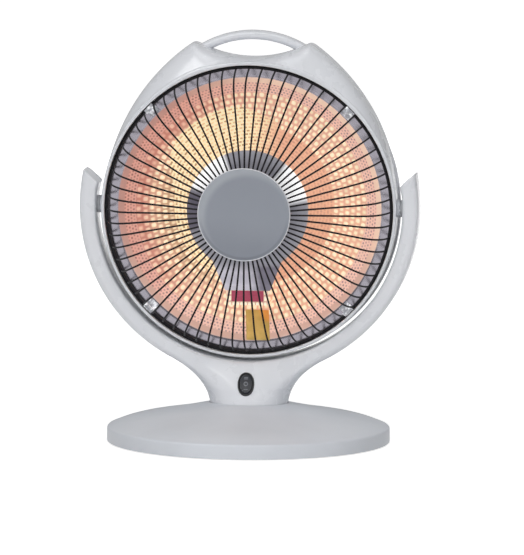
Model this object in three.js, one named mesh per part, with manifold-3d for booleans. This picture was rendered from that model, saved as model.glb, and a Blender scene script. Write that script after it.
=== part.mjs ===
// Table-top parabolic heater: a ring lamp in a dish reflector, behind a wire grille, in a round
// head that tilts in a forked yoke on a weighted disc base. Millimetres, +Z up. The grille faces
// -Y, and the origin is on the floor, under the middle of the base.
import * as THREE from "three";
import { mergeVertices } from "three/addons/utils/BufferGeometryUtils.js";
import Module from "manifold-3d";

const wasm = await Module();
wasm.setup();

// ---- Driving dimensions ----

// Fits
const SEAT_GAP = 0.3; // between faces that rest on each other
const RUN_GAP = 0.4; // round shafts, plungers and rockers in their holes
const OVERSHOOT = 1; // how far a cutting tool passes through a face

// Base
const BASE_RADIUS = 147;
const RIM_BOTTOM = 1.2;
const RIM_TOP = 13.5; // end of the rim's straight side
const RIM_ROUND = 3.6;
const COVER_WALL = 2.6;
const CONE_RISE = 23.6; // from the rim's round to the neck
const COVER_HOLE_RADIUS = 20; // wires from the base to the neck
const PLATE_BOTTOM = 2.4;
const PLATE_THICKNESS = 1.6;
const BALLAST_MARGIN = 13.4; // between it and the screws' bosses
const BALLAST_CLEARANCE = 12; // between it and the tip-over switch
const BALLAST_HEIGHT = 9;
const FOOT_RADIUS = 9;
const FOOT_STEM_RADIUS = 2.8;
const FOOT_STEM_RISE = 5;
const FOOT_EDGE = 1; // bevel of the foot's edge and of its stem's end
const FOOT_EDGE_RISE = 0.8;
const FOOT_MARGIN = 26; // from the base's edge to the feet's middles
const FOOT_COUNT = 4;
const FOOT_START_ANGLE = 45;
const PLATE_SCREW_MARGIN = 19; // from the base's edge to the screws
const PLATE_SCREW_COUNT = 3;
const PLATE_SCREW_START_ANGLE = 30;
const SCREW_BOSS_RADIUS = 4.6;
const SCREW_BOSS_COVER = 1.5; // of the cover's plastic over a screw's boss
const SCREW_HOLE_COVER = 4; // of plastic over a blind screw hole
const PLATE_SCREW_LENGTH = 12;

// Tip-over switch
const TIP_X = 0;
const TIP_Y = 42;
const TIP_HOUSING_WIDTH = 22;
const TIP_HOUSING_DEPTH = 16;
const TIP_HOUSING_HEIGHT = 17;
const TIP_HOUSING_WALL = 1.6;
const TIP_TRAVEL = 4;
const PLUNGER_RADIUS = 3;
const PLUNGER_COLLAR_RADIUS = 5;
const PLUNGER_COLLAR_HEIGHT = 1.4;
const PLUNGER_PIN_RADIUS = 1.4;
const TIP_SPRING_WIRE = 0.45; // wire radius
const TIP_SPRING_TURNS = 4;
const MICROSWITCH_HEIGHT = 5;

// Cord inlet
const GLAND_WIDTH = 15;
const GLAND_TOP = 11.5;
const GLAND_DEPTH = 13;
const GLAND_BORE = 3.3;

// Yoke and neck
const YOKE_Y = 6; // plane where the two yoke shells meet, and the pivots' place
const YOKE_CLEARANCE = 6; // from the head's bezel to the fork
const YOKE_WIDTH = 17.5;
const NECK_RISE = 46.7; // from the neck's foot to the fork's lowest inner point
const YOKE_HALF_DEPTH = 20;
const SADDLE_HALF_DEPTH = 24; // at the foot of the fork
const SADDLE_START_ANGLE = 40; // below the pivot, where the arms start to deepen
const YOKE_WALL = 2.2;
const ARM_TIP_ANGLE = 12.25; // outer corner of an arm's end, above the pivot
const ARM_TIP_SLANT = 3.7; // the inner corner lies this many degrees lower
const PIVOT_PAD_ANGLE = 3.6; // half of the flat pad on an arm's inner edge, about the pivot
const ARM_HOOK = 2; // the arm's end leans inwards by this much
const ARM_OUTER_ROUND = 6;
const ARM_INNER_ROUND = 2.5;
const ARM_INNER_EDGE = 0.8; // share of the arm's depth that its inner edge keeps
const ARM_OUTER_EDGE = 0.65;
const NECK_RADIUS = 40.5;
const NECK_BOTTOM = 38.8;
const NECK_FLOOR = 4;
const FLARE_ANGLE = 63.1; // where the outline leaves the fork's outer circle, below the pivot
const FLARE_INNER_ANGLE = 73; // where the inner circle is when the flare has reached the neck
const FLARE_REACH = 22; // of the flare's curve along its two ends' directions
const FLARE_FOOT_LEAN = 2.4;
const NECK_SWELL_POWER = 1.3; // of the neck's growth in depth towards its foot
const NECK_FOOT_POWER = 2; // of the superellipse across the neck: round at its foot
const NECK_TOP_POWER = 6;
const NECK_SCREW_CIRCLE = 29;
const NECK_SCREW_COUNT = 3;
const NECK_SCREW_START_ANGLE = 90;
const NECK_BOSS_HEIGHT = 14;
const NECK_BOSS_CAP = 2; // of plastic over a neck screw's blind hole
const NECK_SCREW_LENGTH = 15;
const NECK_RECESS_GAP = 0.8;
const CLAMP_THICKNESS = 2;
const CLAMP_RADIUS = 36;
const YOKE_SCREW_ANGLES = [12, 52]; // below the pivot, on both arms
const YOKE_SCREW_LENGTH = 20;
const YOKE_SCREW_RECESS = 8; // from the rear shell's back to the heads' undersides
const YOKE_PILOT_BOSS_RADIUS = 4;
const YOKE_WELL_BOSS_RADIUS = 5.5;

// Switch on the neck
const SWITCH_HEIGHT = 63;
const SWITCH_HALF_WIDTH = 8.7;
const SWITCH_HALF_HEIGHT = 12.6;
const SWITCH_RIM = 1.8;
const SWITCH_RIM_PROUD = 1.4;
const SWITCH_BODY_DEPTH = 15;
const SWITCH_BODY_FLOOR = 2;
const SWITCH_CUT_REACH = 10; // of the neck's hole before and behind its face
const ROCKER_PROUD = 0.8;
const ROCKER_THICKNESS = 4.5;
const TRUNNION_RADIUS = 1.6;
const TRUNNION_LENGTH = 9;
const TRUNNION_DEPTH = 2.5; // behind the neck's face
const CONTACT_BLOCK_SIZE = [10, 4, 16];
const BLADE_SIZE = [6, 7, 1];
const BLADE_SPACING = 8;
const BLADE_ROOT = 1; // in the contact block

// Tilting head; its Y values are in the part's frame
const HEAD_DROP = 2.5; // the head's axis lies this far below the pivots
const BEZEL_FRONT = -14;
const BEZEL_WIDTH = 3.9; // round the grille's ring
const BEZEL_LIP = 2.6;
const BEZEL_LIP_BEVEL = 0.8;
const BEZEL_EDGE = 2; // depth of the bevel on its outer edge
const SHELL_WALL = 2.5;
const SHELL_WAIST = 11; // from the bezel's front to where the shell has widened by three quarters
const SEAM_BAND = 6; // straight before the seam
const SHELL_SEAM = 20;
const LEDGE_FRONT = 0.4;
const LEDGE_THICKNESS = 2;
const LEDGE_OVERLAP = 7.6; // of the shell's ledge behind the dish's flange
const CROWN_SIDE_RADIUS = 214;
const CROWN_START_ANGLE = 4; // above the head's axis
const SADDLE_RISE = 3.1; // from the bezel's circle to the lowest point of the crown's hollow
const SADDLE_RADIUS = 124;
const REAR_DEPTH = 98; // Y of the rear shell's back
const REAR_BOSS_LENGTH = 30;
const HEAD_WELL_BOSS_RADIUS = 5.2;
const VENT_COUNT = 12;
const VENT_WIDTH = 4;
const VENT_LENGTH = 34;
const VENT_CIRCLE_SHARE = 0.55; // of the bezel's radius

// Carry handle
const HANDLE_RADIUS = 103; // middle of the grip
const HANDLE_GAP = 17.1; // from the crown's hollow to the handle's middle
const HANDLE_THICKNESS = 10;
const HANDLE_DEPTH = 20;
const HANDLE_FRONT = 23;
const HANDLE_HALF_ANGLE = 37;
const HANDLE_CORNER = 3;

// Pivots
const BOSS_RADIUS = 9.4;
const BOSS_PROUD = 2.7; // of the bezel
const BOLT_RADIUS = 3;
const BOLT_HEAD_RADIUS = 6;
const BOLT_HEAD_HEIGHT = 4;
const BOLT_END_PROUD = 0.5; // of its nut
const NUT_HEIGHT = 4.6;
const NUT_RADIUS = 5.4;
const NUT_PLAY = 0.5; // from the nut to the shell's wall
const NUT_NOTCH_WIDTH = 12;
const NUT_NOTCH_HEIGHT = 18;
const WASHER_MARGIN = 0.4; // from the boss's edge to the washer's

// Reflector and lamp
const DISH_MARGIN = 12.6; // from the grille ring's outside to the dish's edge
const DISH_DEPTH = 68;
const DISH_SHEET = 0.8;
const FLANGE_MARGIN = 1; // from the grille ring's outside to the flange's edge
const FLANGE_FRONT = -0.7;
const LAMP_Y = -7;
const LAMP_RING_RADIUS = 46;
const LAMP_TUBE_RADIUS = 5;
const LAMP_TUBE_WALL = 1;
const FILAMENT_RADIUS = 1.4;
const LAMP_LEG_X = 13;
const LAMP_LEG_END = 78.7; // below the head's axis
const LAMP_LEG_DROP = 12; // from the ring's circle down to where the legs become straight
const LAMP_JOIN_ANGLE = -58; // where the right leg's bend meets the ring
const LAMP_BEND_REACH = [8, 7]; // of the bend's curve at the leg and at the ring
const CAP_WIDTH = 15;
const CAP_DEPTH = 15;
const CAP_HEIGHT = 18;
const BRACKET_SHEET = 1.2;
const BRACKET_HALF_WIDTH = 22;
const BRACKET_FRONT = -16;
const BRACKET_BACK = 62;
const BRACKET_LIP = 15;

// Shield before the lamp
const SHIELD_RADIUS = 63;
const SHIELD_Y = -22;
const SHIELD_SHEET = 0.8;
const SHIELD_LIP = 3;
const STEM_TOP_HALF_WIDTH = 36;
const STEM_END_HALF_WIDTH = 23.5;
const STEM_END = 83; // below the head's axis
const STEM_NECK = 54; // where the stem leaves the disc and starts to taper
const STEM_BEND = 64; // where it starts to lean back
const STEM_LEAN_END = 77;
const SHIELD_EDGE = 1.5; // width of the bevel round the disc
const POST_RADIUS = 2.5;
const POST_HEAD_HEIGHT = 1.5;
const POST_END = 10; // behind the dish's middle
const POST_NUT_RADIUS = 5;
const POST_NUT_HEIGHT = 4;
const STRIP_WIDTH = 33;
const STRIP_HEIGHT = 11;
const STRIP_THICKNESS = 1.6;

// Grille
const WIRE_COUNT = 68;
const WIRE_RADIUS = 0.95;
const RING_OUTER_RADIUS = 149.6;
const RING_THICKNESS = 3.2;
const RING_FRONT = -10;
const RING_BACK = -1;
const GRILLE_DEPTH = 50; // from the ring's middle to the wires' flat front
const GRILLE_BEND_WIDTH = 31.6; // from the ring's outside to where the wires start to bend
const WIRE_LEAN = 1.5; // backwards, from the hub ring to the bend
const WIRE_BEND_START = [16, 1]; // the bend's curve reaches outwards and back from its start
const WIRE_BEND_END = [3, 14]; // and this far inside the ring and behind the hub ring at its end
const SQUARE_WIRE_SHARE = 1.15; // a four-sided wire's corners over the round wire's radius
const HUB_RADIUS = 48.2;
const HUB_SHEET = 1.2;
const HUB_EDGE_WIDTH = 2;
const HUB_EDGE_RISE = 0.8;
const HUB_BACKING_MARGIN = 3;
const HUB_RING_RADIUS = 42;
const HUB_RING_WIRE = 1.3;
const HUB_CUP_RADIUS = 36;
const CLIP_ANGLES = [45, 135, 225, 315];
const CLIP_WIDTH = 11;
const CLIP_SHEET = 0.9;
const CLIP_FOOT_LENGTH = 6;
const CLIP_INSET = 2; // from the ring's inside to the clip's web
const CLIP_FRONT_MARGIN = 0.4; // from the clip's front to the ring's outside

// Small parts inside the head
const HEAD_SCREW_MARGIN = 9.5; // from the head's outline inwards
const HEAD_SCREW_ANGLES = [32, 148, 212, 328];
const HEAD_SCREW_LENGTH = 18;
const HEAD_SCREW_FLOOR = 6; // of the rear shell under the screws' heads
const CUTOUT_PLACE = 60; // above the head's axis
const CUTOUT_RADIUS = 8;
const CUTOUT_HEIGHT = 9;
const TERMINAL_BLOCK_SIZE = [30, 12, 14];

// Fasteners
const SCREW_RADIUS = 1.6;
const SCREW_HEAD_RADIUS = 3.4;
const SCREW_HEAD_HEIGHT = 1.5;

// Facets of the large round parts
const COVER_FACETS = 40;
const DISH_FACETS = 36;
const RING_FACETS = 34; // half the wires, so that each facet's middle lies between two of them

// ---- Places worked out from them ----

const BEZEL_RADIUS = RING_OUTER_RADIUS + BEZEL_WIDTH;
const LEDGE_INNER_RADIUS = RING_OUTER_RADIUS - FLANGE_MARGIN - LEDGE_OVERLAP;
const DISH_RADIUS = RING_OUTER_RADIUS - DISH_MARGIN;
const FLANGE_RADIUS = RING_OUTER_RADIUS - FLANGE_MARGIN;
const BOSS_END = BEZEL_RADIUS + BOSS_PROUD;
const YOKE_INNER_RADIUS = BEZEL_RADIUS + YOKE_CLEARANCE;
const YOKE_OUTER_RADIUS = YOKE_INNER_RADIUS + YOKE_WIDTH;
const PIVOT_HEIGHT = NECK_BOTTOM + NECK_RISE + YOKE_INNER_RADIUS;
const HEAD_Z = PIVOT_HEIGHT - HEAD_DROP;
const SADDLE_HEIGHT = BEZEL_RADIUS + SADDLE_RISE; // above the head's axis
const HANDLE_TOP = SADDLE_HEIGHT + HANDLE_GAP + HANDLE_THICKNESS;
const VENT_CIRCLE = BEZEL_RADIUS * VENT_CIRCLE_SHARE;
const FOOT_CIRCLE = BASE_RADIUS - FOOT_MARGIN;
const PLATE_SCREW_CIRCLE = BASE_RADIUS - PLATE_SCREW_MARGIN;
const BALLAST_OUTER = PLATE_SCREW_CIRCLE - SCREW_BOSS_RADIUS - BALLAST_MARGIN;
const BALLAST_INNER = TIP_Y + TIP_HOUSING_DEPTH / 2 + BALLAST_CLEARANCE;
const PLATE_TOP = PLATE_BOTTOM + PLATE_THICKNESS;
const PLATE_RADIUS = (BASE_RADIUS - COVER_WALL) * Math.cos(Math.PI / COVER_FACETS) - SEAT_GAP;
const CONE_TOP = RIM_TOP + RIM_ROUND + CONE_RISE;
const CONE_FOOT_RADIUS = BASE_RADIUS - RIM_ROUND;
const NECK_FLARE_START = new THREE.Vector2(
  YOKE_OUTER_RADIUS * Math.cos(THREE.MathUtils.degToRad(FLARE_ANGLE)),
  -YOKE_OUTER_RADIUS * Math.sin(THREE.MathUtils.degToRad(FLARE_ANGLE)),
);
const NECK_DROP = NECK_RISE + YOKE_INNER_RADIUS;
const DISH_RIM_Y = FLANGE_FRONT + DISH_SHEET / 2;
const RING_INNER_RADIUS = RING_OUTER_RADIUS - RING_THICKNESS;
const CLIP_WEB_RADIUS = RING_INNER_RADIUS - CLIP_INSET;
const CLIP_FOOT_RADIUS = CLIP_WEB_RADIUS - CLIP_FOOT_LENGTH;
const GRILLE_FLAT_RADIUS = RING_OUTER_RADIUS - GRILLE_BEND_WIDTH;
const RING_Y = (RING_FRONT + RING_BACK) / 2;
const HUB_Y = RING_Y - GRILLE_DEPTH;
const SHELF_BELOW = LAMP_LEG_END + CAP_HEIGHT + 2 * SEAT_GAP; // the bracket's shelf, under the caps

// ---- Materials ----

const finish = (color, roughness, metalness) =>
  new THREE.MeshStandardMaterial({ color, roughness, metalness });
const whitePlastic = finish(0xdfe3e6, 0.3, 0);
const blackPlastic = finish(0x1b1d20, 0.4, 0);
const blackEnamel = finish(0x101214, 0.35, 0.2);
const blackRubber = finish(0x18191a, 0.85, 0);
const greyPaint = finish(0x8e959e, 0.4, 0.5);
const zincSteel = finish(0xb4b7ba, 0.4, 0.9);
const castIron = finish(0x4a4b4d, 0.75, 0.6);
const polishedAluminium = finish(0xf2c9a0, 0.2, 0.95);
const satinSteel = finish(0xa9adb5, 0.35, 0.9);
const quartzGlass = finish(0xfff0d0, 0.05, 0);
const filamentMetal = finish(0xff9a3c, 0.5, 0.4);
const ceramic = finish(0xf0ece2, 0.6, 0);
const redFibre = finish(0xc83a48, 0.6, 0);
const clearNylon = finish(0xd7dbe2, 0.25, 0);

// ---- Shape helpers ----

const radians = THREE.MathUtils.degToRad;

// A closed geometry as a solid that can be joined and cut.
function solid(geometry) {
  const bare = geometry.clone();
  bare.deleteAttribute("normal");
  bare.deleteAttribute("uv");
  const merged = mergeVertices(bare, 1e-4);
  return new wasm.Manifold(
    new wasm.Mesh({
      numProp: 3,
      vertProperties: new Float32Array(merged.getAttribute("position").array),
      triVerts: new Uint32Array(merged.index.array),
    }),
  );
}

function geometryOf(body) {
  const mesh = body.getMesh();
  const geometry = new THREE.BufferGeometry();
  geometry.setAttribute("position", new THREE.BufferAttribute(mesh.vertProperties, 3));
  geometry.setIndex(new THREE.BufferAttribute(mesh.triVerts, 1));
  return geometry;
}

const join = (first, ...others) =>
  geometryOf(others.reduce((body, other) => body.add(solid(other)), solid(first)));
const cut = (first, ...tools) =>
  geometryOf(tools.reduce((body, tool) => body.subtract(solid(tool)), solid(first)));
const common = (first, second) => geometryOf(solid(first).intersect(solid(second)));

// Turns every face outwards.
function outward(geometry) {
  const p = geometry.getAttribute("position");
  const index = geometry.index.array;
  const [a, b, c] = [new THREE.Vector3(), new THREE.Vector3(), new THREE.Vector3()];
  let volume = 0;
  for (let i = 0; i < index.length; i += 3) {
    a.fromBufferAttribute(p, index[i]);
    b.fromBufferAttribute(p, index[i + 1]);
    c.fromBufferAttribute(p, index[i + 2]);
    volume += a.dot(b.cross(c));
  }
  if (volume < 0) {
    for (let i = 0; i < index.length; i += 3) {
      [index[i], index[i + 1]] = [index[i + 1], index[i]];
    }
  }
  return geometry;
}

// A closed skin over sections, each a loop of [x, y, z] points. In a ring the last section meets
// the first; otherwise a flat fan closes each end.
function skin(sections, ring = false) {
  const across = sections[0].length;
  const points = sections.flat();
  const faces = [];
  const rows = ring ? sections.length : sections.length - 1;
  for (let i = 0; i < rows; i++) {
    const here = i * across;
    const next = ((i + 1) % sections.length) * across;
    for (let j = 0; j < across; j++) {
      const k = (j + 1) % across;
      faces.push(here + j, here + k, next + k, here + j, next + k, next + j);
    }
  }
  if (!ring) {
    for (const [section, start] of [
      [sections[0], 0],
      [sections[sections.length - 1], (sections.length - 1) * across],
    ]) {
      const middle = points.length;
      points.push([0, 1, 2].map((axis) => section.reduce((sum, p) => sum + p[axis], 0) / across));
      for (let j = 0; j < across; j++) {
        const edge = [start + j, start + ((j + 1) % across)];
        if (start === 0) edge.reverse();
        faces.push(middle, ...edge);
      }
    }
  }
  const geometry = new THREE.BufferGeometry();
  geometry.setAttribute("position", new THREE.Float32BufferAttribute(points.flat(), 3));
  geometry.setIndex(faces);
  return outward(geometry);
}

// A profile of [radius, height] points turned about Z.
function turnedZ(profile, segments = 24) {
  const points = profile.map(([r, z]) => new THREE.Vector2(r, z));
  const geometry = new THREE.LatheGeometry(points, segments).rotateX(Math.PI / 2);
  const merged = mergeVertices(withoutShading(geometry), 1e-4);
  return outward(merged);
}

function withoutShading(geometry) {
  geometry.deleteAttribute("normal");
  geometry.deleteAttribute("uv");
  return geometry;
}

// A profile of [radius, y] points turned about the Y axis.
function turnedY(profile, segments = 24) {
  return turnedZ(
    profile.map(([r, y]) => [r, -y]),
    segments,
  ).rotateX(Math.PI / 2);
}

function tube(innerRadius, outerRadius, low, high, segments = 24) {
  return turnedZ(
    [
      [innerRadius, low],
      [outerRadius, low],
      [outerRadius, high],
      [innerRadius, high],
      [innerRadius, low],
    ],
    segments,
  );
}

function rod(radius, low, high, segments = 10) {
  return new THREE.CylinderGeometry(radius, radius, high - low, segments)
    .rotateX(Math.PI / 2)
    .translate(0, 0, (low + high) / 2);
}

const rodY = (radius, front, back, segments = 10) =>
  rod(radius, -back, -front, segments).rotateX(Math.PI / 2);
const rodX = (radius, low, high, segments = 12) =>
  rod(radius, low, high, segments).rotateY(Math.PI / 2);

// A hexagonal nut's prism along Z with a round bore.
function hexNut(radius, bore, low, high) {
  return cut(rod(radius, low, high, 6), rod(bore, low - OVERSHOOT, high + OVERSHOOT, 12));
}

function box(low, high) {
  const size = high.map((value, axis) => value - low[axis]);
  return new THREE.BoxGeometry(...size).translate(
    ...high.map((value, axis) => (value + low[axis]) / 2),
  );
}

// An outline in X and Z, given a thickness along Y.
function slab(shape, front, back, curveSegments = 12) {
  return new THREE.ExtrudeGeometry(shape, {
    depth: back - front,
    bevelEnabled: false,
    curveSegments,
  })
    .rotateX(Math.PI / 2)
    .translate(0, back, 0);
}

function ellipse(halfWidth, halfHeight) {
  const shape = new THREE.Shape();
  shape.absellipse(0, 0, halfWidth, halfHeight, 0, 2 * Math.PI);
  return shape;
}

// Points at even angles round a circle, as [x, y] pairs.
function around(count, radius, startAngle = 0) {
  return Array.from({ length: count }, (_, i) => {
    const angle = radians(startAngle + (360 * i) / count);
    return [radius * Math.cos(angle), radius * Math.sin(angle)];
  });
}

// A pan-head screw with its head's underside at z = 0 and its shank along +Z.
function screw(length) {
  return turnedZ(
    [
      [0, -SCREW_HEAD_HEIGHT],
      [SCREW_HEAD_RADIUS, -SCREW_HEAD_HEIGHT],
      [SCREW_HEAD_RADIUS, 0],
      [SCREW_RADIUS, 0],
      [SCREW_RADIUS, length],
      [0, length],
    ],
    8,
  );
}

// ---- The assembly ----

const heater = new THREE.Group();
const base = new THREE.Group();
const yoke = new THREE.Group();
const head = new THREE.Group(); // its origin is on the head's axis
head.position.set(0, 0, HEAD_Z);
heater.add(base, yoke, head);

function addPart(group, name, geometry, material) {
  const mesh = new THREE.Mesh(geometry, material);
  mesh.name = name;
  group.add(mesh);
  return mesh;
}

// ---- Base ----

const coneSlope = CONE_RISE / (CONE_FOOT_RADIUS - NECK_RADIUS);
const coneHeight = (radius) => CONE_TOP - coneSlope * (radius - NECK_RADIUS);
const plateScrewPlaces = around(
  PLATE_SCREW_COUNT,
  PLATE_SCREW_CIRCLE,
  PLATE_SCREW_START_ANGLE,
);
const footPlaces = around(FOOT_COUNT, FOOT_CIRCLE, FOOT_START_ANGLE);
const neckScrewPlaces = around(
  NECK_SCREW_COUNT,
  NECK_SCREW_CIRCLE,
  NECK_SCREW_START_ANGLE,
).map(([x, y]) => [x, y + YOKE_Y]);

function baseCover() {
  const top = coneHeight(COVER_HOLE_RADIUS);
  const roundSteps = 3;
  const round = Array.from({ length: roundSteps + 1 }, (_, i) => {
    const angle = (Math.PI / 2) * (i / roundSteps);
    return [
      CONE_FOOT_RADIUS + RIM_ROUND * Math.cos(angle),
      RIM_TOP + RIM_ROUND * Math.sin(angle),
    ];
  });
  const shell = turnedZ(
    [
      [BASE_RADIUS - COVER_WALL, RIM_BOTTOM],
      [BASE_RADIUS, RIM_BOTTOM],
      ...round,
      [COVER_HOLE_RADIUS, top],
      [COVER_HOLE_RADIUS, top - COVER_WALL],
      [CONE_FOOT_RADIUS - COVER_WALL, RIM_TOP + RIM_ROUND - COVER_WALL],
      [BASE_RADIUS - COVER_WALL, RIM_TOP - COVER_WALL / 2],
      [BASE_RADIUS - COVER_WALL, RIM_BOTTOM],
    ],
    COVER_FACETS,
  );
  const seat = tube(
    COVER_HOLE_RADIUS + YOKE_Y,
    NECK_RADIUS + 2 * COVER_WALL,
    NECK_BOTTOM - SEAT_GAP - COVER_WALL,
    NECK_BOTTOM - SEAT_GAP,
  ).translate(0, YOKE_Y, 0);
  const bosses = plateScrewPlaces.map(([x, y]) =>
    rod(
      SCREW_BOSS_RADIUS,
      PLATE_TOP + SEAT_GAP,
      coneHeight(PLATE_SCREW_CIRCLE) - SCREW_BOSS_COVER,
    ).translate(x, y, 0),
  );
  const recess = rod(
    NECK_RADIUS + NECK_RECESS_GAP,
    NECK_BOTTOM - SEAT_GAP,
    top + OVERSHOOT,
    32,
  ).translate(0, YOKE_Y, 0);
  const screwHoles = plateScrewPlaces.map(([x, y]) =>
    rod(
      SCREW_RADIUS + SEAT_GAP,
      PLATE_BOTTOM,
      coneHeight(PLATE_SCREW_CIRCLE) - SCREW_HOLE_COVER,
    ).translate(x, y, 0),
  );
  const neckScrewHoles = neckScrewPlaces.map(([x, y]) =>
    rod(SCREW_RADIUS + SEAT_GAP, NECK_BOTTOM - 4 * COVER_WALL, top).translate(x, y, 0),
  );
  const inlet = box(
    [-GLAND_WIDTH / 2, BASE_RADIUS - 2 * GLAND_DEPTH, RIM_BOTTOM - OVERSHOOT],
    [GLAND_WIDTH / 2, BASE_RADIUS + OVERSHOOT, GLAND_TOP + SEAT_GAP],
  );
  return cut(
    join(shell, seat, ...bosses),
    recess,
    ...screwHoles,
    ...neckScrewHoles,
    inlet,
  );
}

function basePlate() {
  const plate = rod(PLATE_RADIUS, PLATE_BOTTOM, PLATE_TOP, COVER_FACETS);
  const holes = [
    ...footPlaces.map(([x, y]) => [x, y, FOOT_STEM_RADIUS + SEAT_GAP]),
    ...plateScrewPlaces.map(([x, y]) => [x, y, SCREW_RADIUS + SEAT_GAP]),
    [TIP_X, TIP_Y, PLUNGER_RADIUS + RUN_GAP],
  ];
  const inlet = box(
    [-GLAND_WIDTH / 2 - SEAT_GAP, BASE_RADIUS - GLAND_DEPTH - SEAT_GAP, PLATE_BOTTOM - OVERSHOOT],
    [GLAND_WIDTH / 2 + SEAT_GAP, BASE_RADIUS, PLATE_TOP + OVERSHOOT],
  );
  return cut(
    plate,
    inlet,
    ...holes.map(([x, y, radius]) =>
      rod(radius, PLATE_BOTTOM - OVERSHOOT, PLATE_TOP + OVERSHOOT, 10).translate(x, y, 0),
    ),
  );
}

function foot() {
  return turnedZ(
    [
      [0, 0],
      [FOOT_RADIUS - FOOT_EDGE, 0],
      [FOOT_RADIUS, FOOT_EDGE_RISE],
      [FOOT_RADIUS, PLATE_BOTTOM - SEAT_GAP],
      [FOOT_STEM_RADIUS, PLATE_BOTTOM - SEAT_GAP],
      [FOOT_STEM_RADIUS, PLATE_TOP + FOOT_STEM_RISE - FOOT_EDGE],
      [0, PLATE_TOP + FOOT_STEM_RISE],
    ],
    12,
  );
}

function cordGland() {
  const block = box(
    [-GLAND_WIDTH / 2 + SEAT_GAP, BASE_RADIUS - GLAND_DEPTH, RIM_BOTTOM],
    [GLAND_WIDTH / 2 - SEAT_GAP, BASE_RADIUS - SEAT_GAP, GLAND_TOP],
  );
  const bore = rod(GLAND_BORE, -BASE_RADIUS - OVERSHOOT, BASE_RADIUS, 12)
    .rotateX(Math.PI / 2)
    .translate(0, 0, (RIM_BOTTOM + GLAND_TOP) / 2);
  return cut(block, bore);
}

addPart(base, "base_cover", baseCover(), whitePlastic);
addPart(base, "base_plate", basePlate(), blackPlastic);
addPart(
  base,
  "ballast_ring",
  tube(BALLAST_INNER, BALLAST_OUTER, PLATE_TOP + SEAT_GAP, PLATE_TOP + SEAT_GAP + BALLAST_HEIGHT, 32),
  castIron,
);
footPlaces.forEach(([x, y], i) => {
  addPart(base, `rubber_foot_${i + 1}`, foot().translate(x, y, 0), blackRubber);
});
plateScrewPlaces.forEach(([x, y], i) => {
  const body = screw(PLATE_SCREW_LENGTH).translate(x, y, PLATE_BOTTOM - SEAT_GAP);
  addPart(base, `base_screw_${i + 1}`, body, zincSteel);
});
addPart(base, "cord_gland", cordGland(), blackRubber);

// ---- Tip-over switch in the base ----

const collarLow = PLATE_TOP + SEAT_GAP + TIP_TRAVEL; // it meets the plate when the base is lifted
const collarHigh = collarLow + PLUNGER_COLLAR_HEIGHT;
const tipLow = PLATE_TOP + SEAT_GAP;
const tipHigh = tipLow + TIP_HOUSING_HEIGHT;
const tipInside = [
  TIP_HOUSING_WIDTH / 2 - TIP_HOUSING_WALL,
  TIP_HOUSING_DEPTH / 2 - TIP_HOUSING_WALL,
];

function tipHousing() {
  const outside = box(
    [-TIP_HOUSING_WIDTH / 2, -TIP_HOUSING_DEPTH / 2, tipLow],
    [TIP_HOUSING_WIDTH / 2, TIP_HOUSING_DEPTH / 2, tipHigh],
  );
  const inside = box(
    [-tipInside[0], -tipInside[1], tipLow - OVERSHOOT],
    [tipInside[0], tipInside[1], tipHigh - TIP_HOUSING_WALL],
  );
  return cut(outside, inside).translate(TIP_X, TIP_Y, 0);
}

function tipPlunger() {
  return turnedZ(
    [
      [0, 0],
      [PLUNGER_RADIUS - 1, 0],
      [PLUNGER_RADIUS, 1],
      [PLUNGER_RADIUS, collarLow],
      [PLUNGER_COLLAR_RADIUS, collarLow],
      [PLUNGER_COLLAR_RADIUS, collarHigh],
      [PLUNGER_PIN_RADIUS, collarHigh],
      [PLUNGER_PIN_RADIUS, tipHigh - TIP_HOUSING_WALL - MICROSWITCH_HEIGHT - 2 * SEAT_GAP],
      [0, tipHigh - TIP_HOUSING_WALL - MICROSWITCH_HEIGHT - 2 * SEAT_GAP],
    ],
    12,
  ).translate(TIP_X, TIP_Y, 0);
}

function tipMicroswitch() {
  const high = tipHigh - TIP_HOUSING_WALL - SEAT_GAP;
  return box(
    [-tipInside[0] + SEAT_GAP, -tipInside[1] + SEAT_GAP, high - MICROSWITCH_HEIGHT],
    [tipInside[0] - SEAT_GAP, tipInside[1] - SEAT_GAP, high],
  ).translate(TIP_X, TIP_Y, 0);
}

// The spring sits round the plunger's pin, between its collar and the microswitch.
function tipSpring() {
  const low = collarHigh + SEAT_GAP + TIP_SPRING_WIRE;
  const high = tipHigh - TIP_HOUSING_WALL - MICROSWITCH_HEIGHT - 2 * SEAT_GAP - TIP_SPRING_WIRE;
  const coilRadius = PLUNGER_PIN_RADIUS + SEAT_GAP + 2 * TIP_SPRING_WIRE;
  const stepsPerTurn = 8;
  const steps = stepsPerTurn * TIP_SPRING_TURNS;
  const sections = Array.from({ length: steps + 1 }, (_, i) => {
    const angle = (2 * Math.PI * i) / stepsPerTurn;
    const height = low + ((high - low) * i) / steps;
    return around(5, TIP_SPRING_WIRE).map(([outwards, up]) => [
      (coilRadius + outwards) * Math.cos(angle),
      (coilRadius + outwards) * Math.sin(angle),
      height + up,
    ]);
  });
  return skin(sections).translate(TIP_X, TIP_Y, 0);
}

addPart(base, "tip_switch_housing", tipHousing(), blackPlastic);
addPart(base, "tip_plunger", tipPlunger(), whitePlastic);
addPart(base, "tip_spring", tipSpring(), zincSteel);
addPart(base, "tip_microswitch", tipMicroswitch(), redFibre);

// ---- Yoke and neck ----

// The flare from the fork's outer circle down to the neck, as half widths at heights below the
// pivot. It leaves the circle along its tangent and reaches the neck upright.
function flareCurve(inset, bottom) {
  const start = NECK_FLARE_START.clone().multiplyScalar(1 - inset / YOKE_OUTER_RADIUS);
  const tangent = new THREE.Vector2(start.y, -start.x).normalize();
  const end = new THREE.Vector2(NECK_RADIUS - inset, bottom);
  return new THREE.CubicBezierCurve(
    start,
    start.clone().addScaledVector(tangent, FLARE_REACH),
    new THREE.Vector2(end.x + FLARE_FOOT_LEAN, end.y + FLARE_REACH),
    end,
  );
}

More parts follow.
